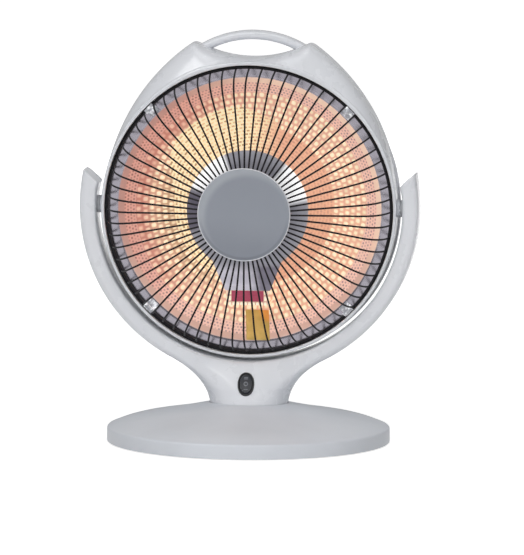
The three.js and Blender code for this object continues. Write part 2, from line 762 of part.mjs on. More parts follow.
const SADDLE_DROP = YOKE_INNER_RADIUS;
const STRAIGHT_DOWN = 90; // degrees below the pivot
const neckDepth = (drop) => {
  const rise = THREE.MathUtils.clamp((NECK_DROP - drop) / (NECK_DROP - SADDLE_DROP), 0, 1);
  return NECK_RADIUS - (NECK_RADIUS - SADDLE_HALF_DEPTH) * Math.pow(rise, NECK_SWELL_POWER);
};
// An edge's share of the full depth: a quarter circle from low at the edge itself to 1.
const roundEdge = (share, low) =>
  low + (1 - low) * Math.sqrt(1 - Math.pow(1 - THREE.MathUtils.clamp(share, 0, 1), 2));

// Half of the yoke, from the plane where its shells meet to its front. inset shrinks it on every
// side, which makes the cavity of a shell, and lifts its lower end by floor.
function yokeHalf(inset, floor) {
  const innerRadius = YOKE_INNER_RADIUS + inset;
  const outerRadius = YOKE_OUTER_RADIUS - inset;
  const bottom = -NECK_DROP + floor;
  const flare = flareCurve(inset, bottom);
  const flarePoints = flare.getPoints(40);
  const flareWidth = (z) => {
    const next = flarePoints.findIndex((p) => p.y <= z);
    if (next <= 0) return flarePoints[0].x;
    const [a, b] = [flarePoints[next - 1], flarePoints[next]];
    return THREE.MathUtils.mapLinear(z, a.y, b.y, a.x, b.x);
  };

  const armDepth = (below) => {
    const deepening = THREE.MathUtils.smoothstep(below, SADDLE_START_ANGLE, STRAIGHT_DOWN);
    return YOKE_HALF_DEPTH + (SADDLE_HALF_DEPTH - YOKE_HALF_DEPTH) * deepening - inset;
  };

  // Depth in front of the meeting plane at a point of the outline.
  const depthAt = (x, z, below, onFork) => {
    const radius = Math.hypot(x, z);
    const innerEdge = roundEdge((radius - innerRadius) / ARM_INNER_ROUND, ARM_INNER_EDGE);
    if (onFork) {
      const outerEdge = roundEdge((outerRadius - radius) / ARM_OUTER_ROUND, ARM_OUTER_EDGE);
      return armDepth(below) * Math.min(innerEdge, outerEdge);
    }
    const rise = THREE.MathUtils.clamp((z - bottom) / (-SADDLE_DROP - bottom), 0, 1);
    const power = THREE.MathUtils.lerp(NECK_FOOT_POWER, NECK_TOP_POWER, rise * rise);
    const share = Math.min(Math.abs(x) / flareWidth(z), 1);
    const across = Math.pow(1 - Math.pow(share, power), 1 / power);
    return Math.min((neckDepth(-z) - inset) * across, armDepth(below) + (1 - rise) * NECK_RADIUS) *
      innerEdge;
  };

  // Pairs of points on the fork's inner and outer edge, from the right arm's end to the middle.
  const insetAngle = THREE.MathUtils.radToDeg(inset / YOKE_OUTER_RADIUS);
  const pairs = [];
  const armSteps = 5;
  const armAngles = Array.from({ length: armSteps + 1 }, (_, i) =>
    THREE.MathUtils.lerp(-PIVOT_PAD_ANGLE, -FLARE_ANGLE, i / armSteps),
  );
  const armEnds = [
    [ARM_TIP_ANGLE - insetAngle, ARM_TIP_ANGLE - ARM_TIP_SLANT - insetAngle],
    [PIVOT_PAD_ANGLE, PIVOT_PAD_ANGLE],
    ...armAngles.map((angle) => [angle, angle]),
  ];
  for (const [outerAngle, innerAngle] of armEnds) {
    const hook = ARM_HOOK * THREE.MathUtils.smoothstep(innerAngle, PIVOT_PAD_ANGLE, ARM_TIP_ANGLE);
    const inner = [radians(innerAngle), innerRadius - hook];
    const outer = [radians(outerAngle), outerRadius];
    pairs.push({
      inner: new THREE.Vector2(inner[1] * Math.cos(inner[0]), inner[1] * Math.sin(inner[0])),
      outer: new THREE.Vector2(outer[1] * Math.cos(outer[0]), outer[1] * Math.sin(outer[0])),
      below: -outerAngle,
      onFork: true,
    });
  }
  const flareSteps = 4;
  for (let i = 1; i <= flareSteps; i++) {
    const below = THREE.MathUtils.lerp(FLARE_ANGLE, FLARE_INNER_ANGLE, i / flareSteps);
    pairs.push({
      inner: new THREE.Vector2(
        innerRadius * Math.cos(radians(below)),
        -innerRadius * Math.sin(radians(below)),
      ),
      outer: flare.getPoint(i / flareSteps),
      below,
      onFork: false,
    });
  }
  const footSteps = 4;
  for (let i = 1; i <= footSteps; i++) {
    const below = THREE.MathUtils.lerp(FLARE_INNER_ANGLE, STRAIGHT_DOWN, i / footSteps);
    pairs.push({
      inner: new THREE.Vector2(
        innerRadius * Math.cos(radians(below)),
        -innerRadius * Math.sin(radians(below)),
      ),
      outer: new THREE.Vector2((NECK_RADIUS - inset) * Math.cos(((i / footSteps) * Math.PI) / 2), bottom),
      below,
      onFork: false,
    });
  }

  const shares = [0, 0.1, 0.3, 0.65, 0.9, 1];
  const meet = inset > 0 ? OVERSHOOT : -SEAT_GAP / 2;
  const section = ({ inner, outer, below, onFork }, side) => {
    const front = shares.map((share) => {
      const p = inner.clone().lerp(outer, share);
      const depth = Math.max(depthAt(p.x, p.y, below, onFork), SEAT_GAP);
      return [side * p.x, YOKE_Y - depth, PIVOT_HEIGHT + p.y];
    });
    const back = [outer, inner].map((p) => [side * p.x, YOKE_Y + meet, PIVOT_HEIGHT + p.y]);
    return [...front, ...back];
  };
  const right = pairs.map((pair) => section(pair, 1));
  const left = pairs.slice(0, -1).map((pair) => section(pair, -1));
  return skin([...right, ...left.reverse()]);
}

const armMiddleRadius = (YOKE_INNER_RADIUS + YOKE_OUTER_RADIUS) / 2;
const yokeScrewPlaces = [1, -1].flatMap((side) =>
  YOKE_SCREW_ANGLES.map((angle) => [
    side * armMiddleRadius * Math.cos(radians(angle)),
    PIVOT_HEIGHT - armMiddleRadius * Math.sin(radians(angle)),
  ]),
);
// Y of the screw heads' undersides
const yokeScrewSeat = YOKE_Y + YOKE_HALF_DEPTH - YOKE_SCREW_RECESS;

const neckBosses = neckScrewPlaces.map(([x, y]) =>
  rod(SCREW_BOSS_RADIUS, NECK_BOTTOM, NECK_BOTTOM + NECK_BOSS_HEIGHT).translate(x, y, 0),
);
const neckPilots = neckScrewPlaces.map(([x, y]) =>
  rod(
    SCREW_RADIUS + SEAT_GAP,
    NECK_BOTTOM - OVERSHOOT,
    NECK_BOTTOM + NECK_BOSS_HEIGHT - NECK_BOSS_CAP,
  ).translate(x, y, 0),
);
const wireHole = rod(COVER_HOLE_RADIUS, NECK_BOTTOM - OVERSHOOT, NECK_BOTTOM + 2 * NECK_FLOOR, 24)
  .translate(0, YOKE_Y, 0);
const pivotHole = rodX(
  BOLT_RADIUS + RUN_GAP,
  -YOKE_INNER_RADIUS - 2 * YOKE_WALL,
  YOKE_INNER_RADIUS + 2 * YOKE_WALL,
).translate(0, YOKE_Y, PIVOT_HEIGHT);

function yokeShell(mirrored) {
  const outside = yokeHalf(0, 0);
  const hollow = cut(outside, yokeHalf(YOKE_WALL, NECK_FLOOR));
  if (!mirrored) {
    const bosses = yokeScrewPlaces.map(([x, z]) =>
      rodY(
        YOKE_PILOT_BOSS_RADIUS,
        YOKE_Y - YOKE_HALF_DEPTH,
        YOKE_Y - SEAT_GAP / 2,
      ).translate(x, 0, z),
    );
    const pilots = yokeScrewPlaces.map(([x, z]) =>
      rodY(
        SCREW_RADIUS + SEAT_GAP,
        yokeScrewSeat - YOKE_SCREW_LENGTH - OVERSHOOT,
        YOKE_Y + OVERSHOOT,
      ).translate(x, 0, z),
    );
    const inside = [...bosses, ...neckBosses].map((boss) => common(boss, outside));
    return cut(join(hollow, ...inside), ...pilots, ...neckPilots, wireHole, pivotHole);
  }
  const mirror = (geometry) =>
    outward(geometry.translate(0, -YOKE_Y, 0).scale(1, -1, 1).translate(0, YOKE_Y, 0));
  const rearOutside = mirror(outside);
  const bosses = yokeScrewPlaces.map(([x, z]) =>
    rodY(
      YOKE_WELL_BOSS_RADIUS,
      YOKE_Y + SEAT_GAP / 2,
      YOKE_Y + YOKE_HALF_DEPTH,
    ).translate(x, 0, z),
  );
  const screwHoles = yokeScrewPlaces.map(([x, z]) =>
    rodY(SCREW_RADIUS + SEAT_GAP, YOKE_Y - OVERSHOOT, YOKE_Y + YOKE_HALF_DEPTH).translate(x, 0, z),
  );
  const headWells = yokeScrewPlaces.map(([x, z]) =>
    rodY(
      SCREW_HEAD_RADIUS + SEAT_GAP,
      yokeScrewSeat - SEAT_GAP,
      YOKE_Y + YOKE_HALF_DEPTH + OVERSHOOT,
    ).translate(x, 0, z),
  );
  const inside = [...bosses, ...neckBosses].map((boss) => common(boss, rearOutside));
  return cut(
    join(mirror(hollow), ...inside),
    ...screwHoles,
    ...headWells,
    ...neckPilots,
    wireHole,
    pivotHole,
  );
}

const switchTilt = Math.atan(
  (neckDepth(PIVOT_HEIGHT - SWITCH_HEIGHT + 1) - neckDepth(PIVOT_HEIGHT - SWITCH_HEIGHT - 1)) / 2,
);
const switchPlace = new THREE.Vector3(
  0,
  YOKE_Y - neckDepth(PIVOT_HEIGHT - SWITCH_HEIGHT),
  SWITCH_HEIGHT,
);
// Carries a shape from the switch's own frame, which faces -Y, to the neck's sloping front.
const onNeck = (geometry) =>
  geometry.rotateX(-switchTilt).translate(switchPlace.x, switchPlace.y, switchPlace.z);

function yokeFront() {
  const opening = slab(
    ellipse(SWITCH_HALF_WIDTH - SWITCH_RIM / 2, SWITCH_HALF_HEIGHT - SWITCH_RIM / 2),
    -SWITCH_CUT_REACH,
    SWITCH_CUT_REACH,
  );
  return cut(yokeShell(false), onNeck(opening));
}

addPart(yoke, "yoke_front_shell", yokeFront(), whitePlastic);
addPart(yoke, "yoke_rear_shell", yokeShell(true), whitePlastic);
yokeScrewPlaces.forEach(([x, z], i) => {
  const body = screw(YOKE_SCREW_LENGTH).rotateX(Math.PI / 2).translate(x, yokeScrewSeat, z);
  addPart(yoke, `yoke_screw_${i + 1}`, body, zincSteel);
});

// The ring under the base cover that the neck's screws pull against.
const clampHigh = NECK_BOTTOM - 2 * SEAT_GAP - COVER_WALL;
addPart(
  yoke,
  "neck_clamp_ring",
  cut(
    tube(COVER_HOLE_RADIUS, CLAMP_RADIUS, clampHigh - CLAMP_THICKNESS, clampHigh).translate(
      0,
      YOKE_Y,
      0,
    ),
    ...neckScrewPlaces.map(([x, y]) =>
      rod(
        SCREW_RADIUS + SEAT_GAP,
        clampHigh - CLAMP_THICKNESS - OVERSHOOT,
        clampHigh + OVERSHOOT,
      ).translate(x, y, 0),
    ),
  ),
  zincSteel,
);
neckScrewPlaces.forEach(([x, y], i) => {
  const body = screw(NECK_SCREW_LENGTH).translate(x, y, clampHigh - CLAMP_THICKNESS - SEAT_GAP);
  addPart(yoke, `neck_screw_${i + 1}`, body, zincSteel);
});

// ---- Switch ----

function switchBezel() {
  const rim = slab(ellipse(SWITCH_HALF_WIDTH, SWITCH_HALF_HEIGHT), -SWITCH_RIM_PROUD, -SEAT_GAP);
  const sleeve = slab(
    ellipse(
      SWITCH_HALF_WIDTH - SWITCH_RIM / 2 - SEAT_GAP,
      SWITCH_HALF_HEIGHT - SWITCH_RIM / 2 - SEAT_GAP,
    ),
    -SWITCH_RIM_PROUD,
    SWITCH_BODY_DEPTH,
  );
  const well = slab(
    ellipse(SWITCH_HALF_WIDTH - SWITCH_RIM, SWITCH_HALF_HEIGHT - SWITCH_RIM),
    -SWITCH_RIM_PROUD - OVERSHOOT,
    SWITCH_BODY_DEPTH - SWITCH_BODY_FLOOR,
  );
  return onNeck(cut(join(rim, sleeve), well));
}

function switchRocker() {
  const cap = slab(
    ellipse(
      SWITCH_HALF_WIDTH - SWITCH_RIM - RUN_GAP,
      SWITCH_HALF_HEIGHT - SWITCH_RIM - 2 * RUN_GAP,
    ),
    -SWITCH_RIM_PROUD - ROCKER_PROUD,
    ROCKER_THICKNESS - SWITCH_RIM_PROUD - ROCKER_PROUD,
  );
  const trunnion = rodX(TRUNNION_RADIUS, -TRUNNION_LENGTH / 2, TRUNNION_LENGTH / 2, 12).translate(
    0,
    TRUNNION_DEPTH,
    0,
  );
  return onNeck(join(cap, trunnion));
}

// The contact block on the back of the switch, with two blade terminals.
function switchTerminals() {
  const low = SWITCH_BODY_DEPTH + SEAT_GAP;
  const [width, depth, height] = CONTACT_BLOCK_SIZE;
  const [bladeWidth, bladeDepth, bladeHeight] = BLADE_SIZE;
  const bladeStart = low + depth - BLADE_ROOT;
  const block = box([-width / 2, low, -height / 2], [width / 2, low + depth, height / 2]);
  const blades = [-BLADE_SPACING / 2, BLADE_SPACING / 2].map((z) =>
    box(
      [-bladeWidth / 2, bladeStart, z - bladeHeight / 2],
      [bladeWidth / 2, bladeStart + bladeDepth, z + bladeHeight / 2],
    ),
  );
  return onNeck(join(block, ...blades));
}

addPart(yoke, "switch_bezel", switchBezel(), blackPlastic);
addPart(yoke, "switch_rocker", switchRocker(), blackPlastic);
addPart(yoke, "switch_terminals", switchTerminals(), zincSteel);

// ---- Head shells ----

// The point to the right where two circles meet.
function circlesMeet(first, firstRadius, second, secondRadius) {
  const along = second.clone().sub(first);
  const distance = along.length();
  along.normalize();
  const reach = (distance ** 2 + firstRadius ** 2 - secondRadius ** 2) / (2 * distance);
  const aside = Math.sqrt(firstRadius ** 2 - reach ** 2);
  return first
    .clone()
    .addScaledVector(along, reach)
    .add(new THREE.Vector2(along.y, -along.x).multiplyScalar(aside));
}

const crownSideCentre = new THREE.Vector2(
  (BEZEL_RADIUS - CROWN_SIDE_RADIUS) * Math.cos(radians(CROWN_START_ANGLE)),
  (BEZEL_RADIUS - CROWN_SIDE_RADIUS) * Math.sin(radians(CROWN_START_ANGLE)),
);

// The outline's radius towards an angle below the shoulders: of its circle, or of a side arc.
function outlineRadius(angle) {
  const towards = new THREE.Vector2(Math.abs(Math.cos(radians(angle))), Math.sin(radians(angle)));
  if (towards.y < Math.sin(radians(CROWN_START_ANGLE))) return BEZEL_RADIUS;
  const along = crownSideCentre.dot(towards);
  return along + Math.sqrt(along ** 2 - crownSideCentre.lengthSq() + CROWN_SIDE_RADIUS ** 2);
}

// The head's outline seen from the front, as { angle, radius } about its axis: a circle below, two
// wider arcs up to the shoulders, and the crown's hollow between them.
function headOutline() {
  const points = [];
  const arcs = (count, from, to, place) => {
    for (let i = 0; i < count; i++) {
      points.push(place(THREE.MathUtils.lerp(from, to, i / count)));
    }
  };
  const saddleCentre = SADDLE_HEIGHT + SADDLE_RADIUS;
  const corner = circlesMeet(
    crownSideCentre,
    CROWN_SIDE_RADIUS,
    new THREE.Vector2(0, saddleCentre),
    SADDLE_RADIUS,
  );
  const cornerAngle = THREE.MathUtils.radToDeg(
    Math.acos((corner.x - crownSideCentre.x) / CROWN_SIDE_RADIUS),
  );
  const saddleAngle = THREE.MathUtils.radToDeg(Math.asin(corner.x / SADDLE_RADIUS));
  const sideFacets = 6;
  const saddleFacets = 8;
  const circleFacets = 22;
  arcs(sideFacets, CROWN_START_ANGLE, cornerAngle, (angle) => [
    crownSideCentre.x + CROWN_SIDE_RADIUS * Math.cos(radians(angle)),
    crownSideCentre.y + CROWN_SIDE_RADIUS * Math.sin(radians(angle)),
  ]);
  arcs(saddleFacets, saddleAngle, -saddleAngle, (angle) => [
    SADDLE_RADIUS * Math.sin(radians(angle)),
    saddleCentre - SADDLE_RADIUS * Math.cos(radians(angle)),
  ]);
  arcs(sideFacets, cornerAngle, CROWN_START_ANGLE, (angle) => [
    -crownSideCentre.x - CROWN_SIDE_RADIUS * Math.cos(radians(angle)),
    crownSideCentre.y + CROWN_SIDE_RADIUS * Math.sin(radians(angle)),
  ]);
  arcs(circleFacets, 180 - CROWN_START_ANGLE, 360 + CROWN_START_ANGLE, (angle) => [
    BEZEL_RADIUS * Math.cos(radians(angle)),
    BEZEL_RADIUS * Math.sin(radians(angle)),
  ]);
  return points.map(([x, z]) => ({ angle: Math.atan2(z, x), radius: Math.hypot(x, z) }));
}

// A shell whose profile of [radius, y] points changes with the outline's radius.
const roundHead = (profile) =>
  skin(
    headOutline().map(({ angle, radius }) =>
      profile(radius).map(([r, y]) => [r * Math.cos(angle), y, r * Math.sin(angle)]),
    ),
    true,
  );

const headScrewPlaces = HEAD_SCREW_ANGLES.map((angle) => [
  (outlineRadius(angle) - HEAD_SCREW_MARGIN) * Math.cos(radians(angle)),
  (outlineRadius(angle) - HEAD_SCREW_MARGIN) * Math.sin(radians(angle)),
]);
const headScrewSeat = SHELL_SEAM + HEAD_SCREW_FLOOR;
const mouthRadius = RING_OUTER_RADIUS + 2 * SEAT_GAP;
const pivotSides = [1, -1];

function headFrontShell() {
  const wallInside = BEZEL_RADIUS - SHELL_WALL;
  const shell = roundHead((radius) => {
    const reach = radius - BEZEL_RADIUS;
    return [
      [mouthRadius, BEZEL_FRONT + BEZEL_LIP_BEVEL],
      [mouthRadius + BEZEL_LIP_BEVEL, BEZEL_FRONT],
      [mouthRadius + BEZEL_LIP - BEZEL_LIP_BEVEL, BEZEL_FRONT],
      [BEZEL_RADIUS + 0.1 * reach, BEZEL_FRONT + BEZEL_EDGE],
      [BEZEL_RADIUS + 0.75 * reach, BEZEL_FRONT + SHELL_WAIST],
      [radius, SHELL_SEAM - SEAM_BAND],
      [radius, SHELL_SEAM - SEAT_GAP / 2],
      [radius - SHELL_WALL, SHELL_SEAM - SEAT_GAP / 2],
      [wallInside + 0.7 * reach, LEDGE_FRONT + LEDGE_THICKNESS + 3],
      [wallInside, LEDGE_FRONT + LEDGE_THICKNESS],
      [LEDGE_INNER_RADIUS, LEDGE_FRONT + LEDGE_THICKNESS],
      [LEDGE_INNER_RADIUS, LEDGE_FRONT],
      [mouthRadius, LEDGE_FRONT],
    ];
  });
  const pivotBosses = pivotSides.map((side) =>
    rodX(BOSS_RADIUS, wallInside + NUT_PLAY, BOSS_END, 16)
      .scale(side, 1, 1)
      .translate(0, YOKE_Y, HEAD_DROP),
  );
  const bolts = rodX(
    BOLT_RADIUS + SEAT_GAP,
    -BOSS_END - OVERSHOOT,
    BOSS_END + OVERSHOOT,
  ).translate(0, YOKE_Y, HEAD_DROP);
  const notches = pivotSides.map((side) =>
    box(
      [-NUT_NOTCH_WIDTH / 2, LEDGE_FRONT - OVERSHOOT, -NUT_NOTCH_HEIGHT / 2],
      [NUT_NOTCH_WIDTH / 2, LEDGE_FRONT + LEDGE_THICKNESS + OVERSHOOT, NUT_NOTCH_HEIGHT / 2],
    ).translate(side * (wallInside - NUT_NOTCH_WIDTH / 2), 0, HEAD_DROP),
  );
  const screwBosses = headScrewPlaces.map(([x, z]) =>
    rodY(SCREW_BOSS_RADIUS, LEDGE_FRONT + 1, SHELL_SEAM - SEAT_GAP / 2).translate(x, 0, z),
  );
  const pilots = headScrewPlaces.map(([x, z]) =>
    rodY(
      SCREW_RADIUS + SEAT_GAP,
      headScrewSeat - HEAD_SCREW_LENGTH - OVERSHOOT,
      SHELL_SEAM + OVERSHOOT,
    ).translate(x, 0, z),
  );
  return cut(
    join(shell, ...pivotBosses.map(outward), ...screwBosses),
    bolts,
    ...notches,
    ...pilots,
  );
}

// The carry handle's bar with its middle line bent to a circle; grow widens it on every side.
function handleBar(grow) {
  const centre = HANDLE_TOP - HANDLE_THICKNESS / 2 - HANDLE_RADIUS;
  const steps = 14;
  const halfThickness = HANDLE_THICKNESS / 2 + grow;
  const halfDepth = HANDLE_DEPTH / 2 + grow;
  const outline = [
    [halfThickness - HANDLE_CORNER, -halfDepth],
    [halfThickness, -halfDepth + HANDLE_CORNER],
    [halfThickness, halfDepth - HANDLE_CORNER],
    [halfThickness - HANDLE_CORNER, halfDepth],
    [-halfThickness + HANDLE_CORNER, halfDepth],
    [-halfThickness, halfDepth - HANDLE_CORNER],
    [-halfThickness, -halfDepth + HANDLE_CORNER],
    [-halfThickness + HANDLE_CORNER, -halfDepth],
  ];
  const sections = Array.from({ length: steps + 1 }, (_, i) => {
    const reach = HANDLE_HALF_ANGLE + THREE.MathUtils.radToDeg(grow / HANDLE_RADIUS);
    const angle = radians(THREE.MathUtils.lerp(-reach, reach, i / steps));
    return outline.map(([outwards, y]) => [
      (HANDLE_RADIUS + outwards) * Math.sin(angle),
      HANDLE_FRONT + HANDLE_DEPTH / 2 + y,
      centre + (HANDLE_RADIUS + outwards) * Math.cos(angle),
    ]);
  });
  return skin(sections);
}

// The rear shell's profile, from its middle to its seam, as shares of the outline's radius and
// distances before the shell's back.
const REAR_PROFILE = [
  [0, 0],
  [0.42, 0],
  [0.66, 8],
  [0.83, 23],
  [0.94, 42],
  [1, 64],
];

function rearProfile(radius, inset) {
  const round = REAR_PROFILE.map(([share, before]) => {
    const inwards = inset * Math.pow(share, 2);
    const forwards = inset * Math.sqrt(1 - Math.pow(share, 4));
    return [share * radius - inwards, REAR_DEPTH - before - forwards];
  });
  return [...round, [radius - inset, SHELL_SEAM + SEAT_GAP / 2]];
}

function headRearShell() {
  const shell = roundHead((radius) => [
    ...rearProfile(radius, 0),
    ...rearProfile(radius, SHELL_WALL).reverse(),
  ]);
  const screwBosses = headScrewPlaces.map(([x, z]) =>
    rodY(
      HEAD_WELL_BOSS_RADIUS,
      SHELL_SEAM + SEAT_GAP / 2,
      SHELL_SEAM + REAR_BOSS_LENGTH,
    ).translate(x, 0, z),
  );
  const outside = roundHead((radius) => [
    ...rearProfile(radius, 0),
    [0, SHELL_SEAM + SEAT_GAP / 2],
  ]);
  const inside = screwBosses.map((boss) => common(boss, outside));
  const holes = headScrewPlaces.map(([x, z]) =>
    rodY(SCREW_RADIUS + SEAT_GAP, SHELL_SEAM - OVERSHOOT, REAR_DEPTH).translate(x, 0, z),
  );
  const wells = headScrewPlaces.map(([x, z]) =>
    rodY(SCREW_HEAD_RADIUS + SEAT_GAP, headScrewSeat - SEAT_GAP, REAR_DEPTH).translate(x, 0, z),
  );
  const vents = Array.from({ length: VENT_COUNT }, (_, i) =>
    box(
      [-VENT_LENGTH / 2, REAR_DEPTH / 2, -VENT_WIDTH / 2],
      [VENT_LENGTH / 2, REAR_DEPTH + OVERSHOOT, VENT_WIDTH / 2],
    )
      .translate(VENT_CIRCLE, 0, 0)
      .rotateY((2 * Math.PI * (i + 0.5)) / VENT_COUNT),
  );
  return cut(join(shell, ...inside), handleBar(SEAT_GAP), ...holes, ...wells, ...vents);
}

addPart(head, "head_front_shell", headFrontShell(), whitePlastic);
addPart(head, "head_rear_shell", headRearShell(), whitePlastic);
addPart(head, "carry_handle", handleBar(0), whitePlastic);
headScrewPlaces.forEach(([x, z], i) => {
  const body = screw(HEAD_SCREW_LENGTH).rotateX(Math.PI / 2).translate(x, headScrewSeat, z);
  addPart(head, `head_screw_${i + 1}`, body, zincSteel);
});

// ---- Pivots: on each side a bolt through the arm, a friction washer, the boss and a nut ----

pivotSides.forEach((side) => {
  const name = side > 0 ? "right" : "left";
  const place = (geometry) =>
    outward(
      mergeVertices(withoutShading(geometry), 1e-4)
        .scale(side, 1, 1)
        .translate(0, YOKE_Y, HEAD_DROP),
    );
  const washerStart = BOSS_END + SEAT_GAP;
  const padX = YOKE_INNER_RADIUS * Math.cos(radians(PIVOT_PAD_ANGLE));
  const washer = tube(
    BOLT_RADIUS + SEAT_GAP,
    BOSS_RADIUS - WASHER_MARGIN,
    washerStart,
    padX - SEAT_GAP,
    16,
  ).rotateY(Math.PI / 2);
  const headStart = YOKE_INNER_RADIUS + YOKE_WALL + SEAT_GAP;
  const nutEnd = BEZEL_RADIUS - SHELL_WALL - SEAT_GAP - NUT_PLAY;
  const boltEnd = nutEnd - NUT_HEIGHT - BOLT_END_PROUD;
  const bolt = turnedZ(
    [
      [0, boltEnd],
      [BOLT_RADIUS, boltEnd],
      [BOLT_RADIUS, headStart],
      [BOLT_HEAD_RADIUS, headStart],
      [BOLT_HEAD_RADIUS, headStart + BOLT_HEAD_HEIGHT],
      [0, headStart + BOLT_HEAD_HEIGHT],
    ],
    16,
  ).rotateY(Math.PI / 2);
  const nut = hexNut(NUT_RADIUS, BOLT_RADIUS + SEAT_GAP, nutEnd - NUT_HEIGHT, nutEnd).rotateY(
    Math.PI / 2,
  );
  addPart(head, `friction_washer_${name}`, place(washer), blackRubber);
  addPart(head, `pivot_bolt_${name}`, place(bolt), zincSteel);
  addPart(head, `pivot_nut_${name}`, place(nut), zincSteel);
});

// ---- Reflector ----

const dishY = (radius) => DISH_RIM_Y + DISH_DEPTH * (1 - Math.pow(radius / DISH_RADIUS, 2));

function reflector() {
  const steps = 6;
  const front = Array.from({ length: steps + 1 }, (_, i) => {
    const radius = (DISH_RADIUS * i) / steps;
    return [radius, dishY(radius) - DISH_SHEET / 2];
  });
  const back = front.map(([radius, y]) => [radius, y + DISH_SHEET]).reverse();
  const dish = turnedY(
    [
      ...front,
      [FLANGE_RADIUS, FLANGE_FRONT],
      [FLANGE_RADIUS, FLANGE_FRONT + DISH_SHEET],
      ...back,
    ],
    DISH_FACETS,
  );
  const slot = box(
    [-BRACKET_HALF_WIDTH - SEAT_GAP, 0, -SHELF_BELOW - BRACKET_SHEET - SEAT_GAP],
    [BRACKET_HALF_WIDTH + SEAT_GAP, BRACKET_BACK + OVERSHOOT, -SHELF_BELOW + SEAT_GAP],
  );
  const postHole = rodY(POST_RADIUS + SEAT_GAP, 0, DISH_DEPTH + POST_END);
  return cut(dish, slot, postHole);
}

addPart(head, "reflector_dish", reflector(), polishedAluminium);

// ---- Ring lamp and its holder ----

// From one leg up, round the ring and down the other leg.
function lampPath(legEnd) {
  const path = new THREE.CurvePath();
  const onRing = (angle) =>
    new THREE.Vector3(
      LAMP_RING_RADIUS * Math.cos(radians(angle)),
      LAMP_Y,
      LAMP_RING_RADIUS * Math.sin(radians(angle)),
    );
  const legTop = -LAMP_RING_RADIUS - LAMP_LEG_DROP;
  const leg = (side, z) => new THREE.Vector3(side * LAMP_LEG_X, LAMP_Y, z);
  const start = onRing(LAMP_JOIN_ANGLE);
  const along = (angle) =>
    new THREE.Vector3(-Math.sin(radians(angle)), 0, Math.cos(radians(angle)));
  const rightBend = [
    leg(1, legTop),
    leg(1, legTop + LAMP_BEND_REACH[0]),
    start.clone().addScaledVector(along(LAMP_JOIN_ANGLE), -LAMP_BEND_REACH[1]),
    start,
  ];
  const mirror = (v) => new THREE.Vector3(-v.x, v.y, v.z);
  path.add(new THREE.LineCurve3(leg(1, -legEnd), leg(1, legTop)));
  path.add(new THREE.CubicBezierCurve3(...rightBend));
  const arcSteps = 6;
  const sweep = 180 - 2 * LAMP_JOIN_ANGLE;
  for (let i = 0; i < arcSteps; i++) {
    const from = LAMP_JOIN_ANGLE + (sweep * i) / arcSteps;
    const to = LAMP_JOIN_ANGLE + (sweep * (i + 1)) / arcSteps;
    const handle = (4 / 3) * Math.tan(radians((to - from) / 4)) * LAMP_RING_RADIUS;
    path.add(
      new THREE.CubicBezierCurve3(
        onRing(from),
        onRing(from).addScaledVector(along(from), handle),
        onRing(to).addScaledVector(along(to), -handle),
        onRing(to),
      ),
    );
  }
  path.add(new THREE.CubicBezierCurve3(...rightBend.map(mirror).reverse()));
  path.add(new THREE.LineCurve3(leg(-1, legTop), leg(-1, -legEnd)));
  return path;
}

// A tube along the lamp's flat path, from loops that stay square to it.
function alongLamp(legEnd, outerRadius, innerRadius, sides) {
  const steps = 30;
  const path = lampPath(legEnd);
  const loop = (radius, i) => {
    const point = path.getPointAt(i / steps);
    const tangent = path.getTangentAt(i / steps);
    const normal = new THREE.Vector3(0, 1, 0).cross(tangent).normalize();
    return around(sides, radius).map(([outwards, y]) => [
      point.x + normal.x * outwards,
      point.y + y,
      point.z + normal.z * outwards,
    ]);
  };
  const loops = (radius) => Array.from({ length: steps + 1 }, (_, i) => loop(radius, i));
  const outside = skin(loops(outerRadius));
  if (innerRadius === 0) return outside;
  const bore = loops(innerRadius);
  const lengthen = (section) => section.map(([x, y, z]) => [x, y, z - OVERSHOOT]);
  bore[0] = lengthen(bore[0]);
  bore[steps] = lengthen(bore[steps]);
  return cut(outside, skin(bore));
}

function ceramicCap(side) {
  return box(
    [side * LAMP_LEG_X - CAP_WIDTH / 2, LAMP_Y - CAP_DEPTH / 2, -LAMP_LEG_END - SEAT_GAP - CAP_HEIGHT],
    [side * LAMP_LEG_X + CAP_WIDTH / 2, LAMP_Y + CAP_DEPTH / 2, -LAMP_LEG_END - SEAT_GAP],
  );
}

// A shelf that passes through the dish, with a turned-up lip in front.
function lampBracket() {
  const shelf = box(
    [-BRACKET_HALF_WIDTH, BRACKET_FRONT, -SHELF_BELOW - BRACKET_SHEET],
    [BRACKET_HALF_WIDTH, BRACKET_BACK, -SHELF_BELOW],
  );
  const lip = box(
    [-BRACKET_HALF_WIDTH, BRACKET_FRONT, -SHELF_BELOW - BRACKET_SHEET],
    [BRACKET_HALF_WIDTH, BRACKET_FRONT + BRACKET_SHEET, -SHELF_BELOW + BRACKET_LIP],
  );
  return join(shelf, lip);
}

addPart(
  head,
  "quartz_lamp_tube",
  alongLamp(LAMP_LEG_END, LAMP_TUBE_RADIUS, LAMP_TUBE_RADIUS - LAMP_TUBE_WALL, 6),
  quartzGlass,
);
addPart(
  head,
  "lamp_filament",
  alongLamp(LAMP_LEG_END, FILAMENT_RADIUS, 0, 4),
  filamentMetal,
);
addPart(head, "lamp_cap_right", ceramicCap(1), ceramic);
addPart(head, "lamp_cap_left", ceramicCap(-1), ceramic);
addPart(head, "lamp_bracket", lampBracket(), zincSteel);

// ---- Shield ----

const stemEndY = BRACKET_FRONT - SEAT_GAP; // the stem's back rests on the bracket's lip

